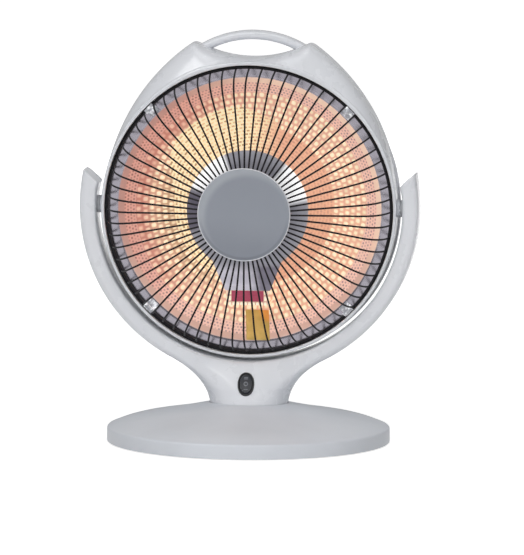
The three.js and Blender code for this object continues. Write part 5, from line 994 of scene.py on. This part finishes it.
def along_lamp(line, wind, tube, sides):
    """Loops of a tube about a line that winds round the lamp's own line at a given offset.

    wind is the winding's X-along-normal and Y offset at each point."""
    tangent = unit(np.gradient(line, axis=0))
    normal = tangent[:, ::-1] * (1, -1)
    x, z = (line + normal * wind[:, :1]).T
    centre = np.stack([x, LAMP_Y + wind[:, 1], z], -1)
    ahead = unit(np.gradient(centre, axis=0))
    outwards = unit(np.cross(ahead, (0, 1, 0)))
    other = np.cross(ahead, outwards)
    turn = once_round(sides)[None, :, None]
    ring = np.cos(turn) * outwards[:, None] + np.sin(turn) * other[:, None]
    return centre[:, None] + tube * ring + (0, 0, HEAD_Z)


tube_line = lamp_line(3)
tube_grid = along_lamp(tube_line, np.zeros((len(tube_line), 2)), LAMP_TUBE, 20)
lamp_tube = surface("lamp_tube", tube_grid, lids=True)
coil_line = lamp_line(0.5)
winding = np.arange(len(coil_line)) * 360 / COIL_STEPS
coil_grid = along_lamp(coil_line, polar(COIL_RADIUS, winding), COIL_WIRE, 4)
lamp_coil = surface("lamp_coil", coil_grid, lids=True)

quartz = Finish("clear quartz", IOR=1.46, Transmission_Weight=0.92, Emission_Strength=0.35)
streaks = quartz.noise(200, detail=3, stretch=(1, 1, 3))
warm = streaks.mix((1, 0.62, 0.28), (1, 0.78, 0.48))
quartz.set(Base_Color=(1, 0.93, 0.8), Emission_Color=warm, Roughness=0.03 + 0.08 * streaks)
heating_wire = Finish("glowing heating wire", Metallic=0.6, Emission_Strength=2.2)
pulse = heating_wire.noise(90, detail=2)
heat = pulse.mix((1, 0.36, 0.08), (1, 0.62, 0.22))
heating_wire.set(Base_Color=heat, Emission_Color=heat, Roughness=0.35 + 0.2 * pulse)
ceramic = Finish("unglazed ceramic", IOR=1.55)
chalk = ceramic.noise(240, detail=5, roughness=0.65)
ceramic.set(Base_Color=chalk.mix((0.72, 0.67, 0.58), (0.84, 0.81, 0.74)), Roughness=0.6 + 0.25 * chalk)
ceramic.bump(chalk, 0.0003, 0.7)
for piece, finish, node, slot in (
    (lamp_tube, quartz, "quartz_lamp_tube", "quartz_glass"),
    (lamp_coil, heating_wire, "lamp_filament", "filament_metal"),
):
    cover(piece, finish)
    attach(piece, "head")
    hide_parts(node)

# The bracket glows with the bowl's painted lamp glow, as emission, with painted highlights on the high
# points of its stamped pattern.
bracket_metal = Finish("bracket with painted lamp glow", Metallic=0.7, Emission_Strength=0.35)
x, _, z = bracket_metal.place((0, 0, HEAD_Z))
files, ranks = ((way * (pi / (p * MM))).math("SINE") for way, p in zip((x, z), STAMP_PITCH))
stamped = abs(ranks * files)
painted_glow_metal = stamped.soft(0.1, 0.7).mix(GAP, CREAM)
bracket_metal.set(
    Base_Color=painted_glow_metal,
    Emission_Color=painted_glow_metal,
    Roughness=0.28 + 0.2 * bracket_metal.noise(150),
)
bracket_metal.bump(stamped, 0.0003, 0.6)
dress(bracket_metal, "lamp_bracket")
dress(ceramic, "lamp_cap_right", "lamp_cap_left", "terminal_block")
dress(zinc, "thermal_cutout")

# ---- The shield before the lamp ----
# A keyhole of satin steel sheet: a flat disc with a turned-back edge that hides the lamp, and a
# tapering stem that leans back to the bracket. A stud from the bowl's middle holds the disc.

SHIELD_RADIUS, SHIELD_Y, SHIELD_LIP = 63, -22, 3
STEM = ((36, 51.7), (23.5, 83))  # half width and drop at the stem's top and end
STEM_BEND, STEM_LEAN, STEM_END_Y = 64, 77, -16.3
SHIELD_SHEET, SHIELD_LIFT = 0.7, 0.8  # thickness, and how far the front lies before SHIELD_Y


def shield():
    """A star-shaped sheet: each ray from the middle ends on the disc's circle, or lower down on the
    stem's side x = w0 + k (drop - d0) or its end. Depth is the disc's, and from the bend on it
    leans back with the drop. The last rows turn back over the disc's edge."""
    (top, top_drop), (end, end_drop) = STEM
    marks = [atan2(-drop, side * half) for half, drop in STEM for side in (1, -1)]
    angle = np.unique(np.round(np.append(np.linspace(-pi, pi, 240, endpoint=False), marks), 6))
    over, down = np.abs(np.cos(angle)), np.maximum(-np.sin(angle), 1e-6)
    slope = (end - top) / (end_drop - top_drop)
    to_side = (top - slope * top_drop) / np.maximum(over - slope * down, 1e-6)
    stem = np.minimum(to_side, end_drop / down)
    on_stem = (np.sin(angle) < 0) & (stem > SHIELD_RADIUS)
    reach = np.where(on_stem, stem, SHIELD_RADIUS)
    share = np.concatenate([np.linspace(0.03, 0.7, 6), np.linspace(0.75, 0.985, 14), [0.995, 1, 1]])
    lip = np.concatenate([np.zeros(20), [0.15, 0.7, SHIELD_LIP]])[:, None] * ~on_stem
    r = share[:, None] * reach
    x, z = r * np.cos(angle), r * np.sin(angle)
    lean = np.clip((-z - STEM_BEND) / (STEM_LEAN - STEM_BEND), 0, 1)
    y = SHIELD_Y - SHIELD_LIFT + lip + (STEM_END_Y - SHIELD_Y) * lean
    grid = np.stack([x, y, HEAD_Z + z], -1)
    behind = grid[::-1] + (0, SHIELD_SHEET, 0)
    return surface("shield_sheet", np.concatenate([grid, behind]), lids=True)


UPPER_GLINT, RIGHT_GLINT, PAINTED_SHADE_SIDE = 135, 30, 178  # degrees round the disc, from the right, of two painted highlights and of the painted shade
# The glints are painted highlights, which also glow as emission, and the left side holds painted shade. The
# stem is painted lighter than the disc as painted light, and darker on its right as painted shade.
satin_steel = Finish("satin steel sheet", Metallic=0.75, Emission_Strength=0.5)
x, _, z = satin_steel.place((0, 0, HEAD_Z))
turn = z.math("ARCTAN2", x) * (180 / pi)
spun = satin_steel.noise(240, detail=3)
edge_wave = 8 * (satin_steel.noise(30) - 0.5)
upper_glint = abs(turn - UPPER_GLINT + edge_wave).soft(25, 19)
right_glint = abs(turn - RIGHT_GLINT + edge_wave).soft(24, 15)
glint = (upper_glint + right_glint).math("MINIMUM", 1)
shade = abs(abs(turn) - PAINTED_SHADE_SIDE + edge_wave).soft(24, 12)
steel_tone = spun.mix((0.33, 0.325, 0.37), (0.42, 0.415, 0.46))
lit_stem_tone = spun.mix((0.64, 0.61, 0.69), (0.74, 0.71, 0.78))
tone = (z / MM).soft(-50, -66).mix(steel_tone, lit_stem_tone)
stem_painted_shade = (x / MM + 20 * (satin_steel.noise(45) - 0.5)).soft(0, 16) * (z / MM).soft(-52, -60)
tone = (stem_painted_shade * 0.85).mix(tone, (0.12, 0.105, 0.15))
tone = (shade * 0.75).mix(tone, (0.10, 0.085, 0.13))
glow = glint.mix((0.10, 0.098, 0.115), (1, 1, 1))
satin_steel.set(
    Base_Color=glint.mix(tone, (0.95, 0.95, 0.97)),
    Emission_Color=(shade * 0.8).mix(glow, (0.01, 0.008, 0.012)),
    Roughness=0.3 + 0.18 * spun,
)
satin_steel.bump(spun, 0.00006, 0.6)
shield_sheet = shield()
cover(shield_sheet, satin_steel)
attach(shield_sheet, "head")
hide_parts("lamp_shield")
dress(zinc, "shield_post", "shield_post_nut")
dress(red_fibre, "insulating_strip")

# ---- The wire guard ----
# Sixty-eight steel wires run out from a small ring, bend back at the edge and are welded to a flat
# band in the head's mouth; all is dipped in glossy black enamel. Four clips hold the band.

WIRES, WIRE_RADIUS = 68, 0.95
HUB_Y, RING_Y = -55.5, -5.5
HUB_RING, HUB_WIRE = 42, 1.3
BAND = (146.4, 149.6, -10, -1)
WIRE_START = ((41, 0), (79, 0.75))  # radius, and depth behind the hub's ring
WIRE_BEND = ((118, 1.5), (134, 2.5), (143.4, 14), (148, RING_Y - HUB_Y))


def guard_wires():
    """One wire's middle line, straight from the hub ring and then a curve back to the band, with
    circles square to it; the others are this one turned about the head's axis."""
    line = np.concatenate([WIRE_START, bezier(WIRE_BEND, np.linspace(0, 1, 15))]) + (0, HUB_Y)
    tangent = unit(np.gradient(line, axis=0))
    turn = once_round(8)
    radius = line[:, :1] - tangent[:, 1:] * WIRE_RADIUS * np.sin(turn)
    y = line[:, 1:] + tangent[:, :1] * WIRE_RADIUS * np.sin(turn)
    aside = WIRE_RADIUS * np.cos(turn) + 0 * radius
    angle = np.radians(np.arange(WIRES) * 360 / WIRES)[:, None, None]
    x = radius * np.cos(angle) - aside * np.sin(angle)
    z = radius * np.sin(angle) + aside * np.cos(angle)
    return surface("guard_wires", np.stack([x, y + 0 * x, HEAD_Z + z], -1), lids=True)


inner, outer, band_front, band_back = BAND
band_line = [(inner, band_front), (outer, band_front), (outer, band_back), (inner, band_back)]
band_line = rounded(band_line, 0.9, steps=6)
guard_band = surface("guard_band", turned(band_line, 272, "y") + (0, 0, HEAD_Z), rows_meet=True)
hub_line = polar(HUB_WIRE, np.degrees(once_round(12))) + (HUB_RING, HUB_Y)
hub_ring = surface("guard_hub_ring", turned(hub_line, 136, "y") + (0, 0, HEAD_Z), rows_meet=True)
wires = guard_wires()
enamel = Finish("black enamel", IOR=1.4, Specular_IOR_Level=0.3)
runs = enamel.noise(45, detail=3)
enamel.set(Base_Color=runs.mix((0.004, 0.004, 0.006), (0.011, 0.010, 0.013)), Roughness=0.4 + 0.2 * runs)
enamel.bump(enamel.noise(380), 0.00012, 0.5)
for piece in (wires, guard_band, hub_ring):
    cover(piece, enamel)
    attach(piece, "head")
    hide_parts("grille")

# The clips' white spots are painted glints, which also glow as emission; the same noise gives the real
# facets of the bump.
nylon = Finish("clear nylon", IOR=1.5, Transmission_Weight=0.35, Emission_Strength=0.35)
facets_and_glints = nylon.noise(300, detail=2)
nylon.set(
    Base_Color=facets_and_glints.soft(0.35, 0.65).mix((0.42, 0.43, 0.47), (0.95, 0.96, 1)),
    Emission_Color=facets_and_glints.soft(0.5, 0.7).mix((0.1, 0.1, 0.11), (1, 1, 1)),
    Roughness=0.1 + 0.25 * facets_and_glints,
)
nylon.bump(facets_and_glints, 0.0006, 0.8)
dress(nylon, *(f"grille_clip_{i}" for i in (1, 2, 3, 4)))

# ---- The plate at the guard's middle ----
# A pressed disc, painted blue-grey, with a rolled bright edge. Its cupped backing grips the small
# ring of the guard between the two.

HUB_RADIUS, HUB_FRONT, HUB_BACK = 48.2, -59.1, -57.1
plate_line = rounded(
    [
        (1, HUB_FRONT),
        (43.4, HUB_FRONT),
        (46.9, HUB_FRONT + 0.55),
        (47.6, HUB_FRONT + 0.1),
        (HUB_RADIUS, HUB_FRONT + 1),
        (HUB_RADIUS - 0.2, HUB_BACK),
        (1, HUB_BACK),
    ],
    [0, 2.2, 0.3, 0.35, 0.5, 0.3, 0],
    closed=False,
)
hub_plate = surface("hub_disc", turned(plate_line, 192, "y") + (0, 0, HEAD_Z), lids=True)
grey_paint = Finish("blue-grey paint", IOR=1.5, Coat_Weight=0.2, Coat_Roughness=0.2)
x, _, z = grey_paint.place((0, 0, HEAD_Z))
radius = (x**2 + z**2) ** 0.5 / MM
mist = grey_paint.noise(15, detail=3)
peel = grey_paint.noise(520, detail=2)
paint = mist.mix((0.225, 0.245, 0.285), (0.27, 0.29, 0.335))
# Painted light: the border is lighter towards the upper left as a painted highlight, the lower half is
# darker as painted shade, and a thin line of painted shade runs inside the lower rim.
painted_light_border = (radius - 0.1 * x / MM + 0.1 * z / MM).soft(40, 49)
paint = (painted_light_border * 0.5).mix(paint, (0.44, 0.46, 0.50))
paint = ((z / MM).soft(0, -44) * 0.4).mix(paint, (0.15, 0.165, 0.20))
painted_shade_line = abs(radius - 45.2).soft(2.2, 0.3) * (z / MM).soft(5, -30)
paint = (painted_shade_line * 0.5).mix(paint, (0.13, 0.14, 0.17))
paint = (radius.soft(47.0, 47.5) * 0.85).mix(paint, (0.80, 0.81, 0.84))
grey_paint.set(Base_Color=paint, Roughness=0.36 + 0.14 * peel, Metallic=0.35 * radius.soft(46.8, 47.4))
grey_paint.bump(peel, 0.00009, 0.4)
cover(hub_plate, grey_paint)
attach(hub_plate, "head")
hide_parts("hub_plate")
dress(grey_paint, "hub_backing")

# ---- Floor, light and camera ----
# A wide pale floor under soft studio light. The floor adds its own white for the camera and for
# reflections, so that it stays white and keeps the heater's shadow.


def rays(finish, kind):
    """1 for rays of a kind, such as those from the camera, and 0 for all others."""
    return finish.node("LightPath", output=f"Is {kind} Ray")


FLOOR_HALF = 15000
flat = FLOOR_HALF * np.array([[(-1, -1, 0), (1, -1, 0)], [(-1, 1, 0), (1, 1, 0)]])
floor = surface("floor", flat, columns_meet=False, facing=(0, 0, 1))
PAPER_BOUNCE = (0.12, 0.12, 0.12)  # what the floor adds to the light; for the camera it's more
PAPER_NEAR, PAPER_FAR = (0.82, 0.82, 0.82), (1, 1, 1)
paper = Finish("white paper floor", Roughness=0.9, Emission_Strength=0.9, Specular_IOR_Level=0.0)
x, y, _ = paper.place()
distant = ((x**2 + y**2) ** 0.5).soft(0.6, 3)
fibre = paper.noise(4, detail=2)
seen = (rays(paper, "Camera") + rays(paper, "Glossy")).math("MINIMUM", 1)
paper.set(
    Base_Color=fibre.mix((0.54, 0.54, 0.54), (0.58, 0.58, 0.58)),
    Emission_Color=seen.mix(PAPER_BOUNCE, distant.mix(PAPER_NEAR, PAPER_FAR)),
)
cover(floor, paper)
floor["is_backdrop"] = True

AMBIENT, MIRRORED = 0.28, 0.45  # the world's strength as light and in reflections; 1 is white
studio = bpy.data.worlds.new("studio")
bpy.context.scene.world = studio
sky = Finish("studio", studio, "Background", Color=(1, 1, 1))
white = (1 - AMBIENT) * (rays(sky, "Camera") + rays(sky, "Transmission")).math("MINIMUM", 1)
sky.set(Strength=AMBIENT + white + (MIRRORED - AMBIENT) * rays(sky, "Glossy"))


def lamp(name, place, aim, size, power, spread=180, shown=True):
    """A square studio light at a place in metres, turned towards a point, with its beam's degrees.
    One that isn't shown gives light alone, and no reflection."""
    light = bpy.data.lights.new(name, "AREA")
    light.size, light.energy, light.spread = size, power, radians(spread)
    fixture = bpy.data.objects.new(name, light)
    fixture.location = place
    fixture.rotation_euler = (Vector(aim) - Vector(place)).to_track_quat("-Z", "Y").to_euler()
    fixture.visible_glossy = fixture.visible_camera = shown
    bpy.context.scene.collection.objects.link(fixture)


lamp("key", (-1.3, -2.6, 2.3), (0, 0, 0.2), 1.4, 34)
lamp("fill", (1.5, -2.7, 1.5), (0, 0, 0.22), 1.2, 16)
lamp("top", (0.1, -0.8, 2.6), (0, 0, 0.1), 1.5, 12)
lamp("table_bounce", (0.1, -1.8, 0.3), (0, 0, 0.06), 0.5, 0.27, spread=36, shown=False)
lamp("behind", (0.6, 3.0, 1.3), (0, 0, 0.22), 1.8, 30, shown=False)

AZIMUTH, ELEVATION, ROLL = 5.8, 6.6, 0.33
DISTANCE = 7.0
MM_PER_PIXEL = 1.04
IMAGE = (524, 555)
ORIGIN_PIXEL = (249.3, 441)  # where the photograph shows the point under the base's middle
a, e = radians(AZIMUTH), radians(ELEVATION)
backwards = Vector((sin(a) * cos(e), -cos(a) * cos(e), sin(e)))
rightwards = Vector((cos(a), sin(a), 0))
upwards = backwards.cross(rightwards)
shift_right = (IMAGE[0] / 2 - ORIGIN_PIXEL[0]) * MM_PER_PIXEL * MM
shift_up = (ORIGIN_PIXEL[1] - IMAGE[1] / 2) * MM_PER_PIXEL * MM
target = shift_right * rightwards + shift_up * upwards
tilted_up = upwards * cos(radians(ROLL)) - rightwards * sin(radians(ROLL))
tilted_right = tilted_up.cross(backwards)
view = bpy.data.cameras.new("view")
view.sensor_width = 36
view.lens = view.sensor_width * DISTANCE / (IMAGE[1] * MM_PER_PIXEL * MM)
view.clip_end = 100
camera = bpy.data.objects.new("view", view)
turned_to = Matrix((tilted_right, tilted_up, backwards)).transposed()
camera.matrix_world = Matrix.Translation(target + DISTANCE * backwards) @ turned_to.to_4x4()
bpy.context.scene.collection.objects.link(camera)
bpy.context.scene.camera = camera
bpy.context.scene.view_settings.view_transform = "Standard"

low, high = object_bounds()
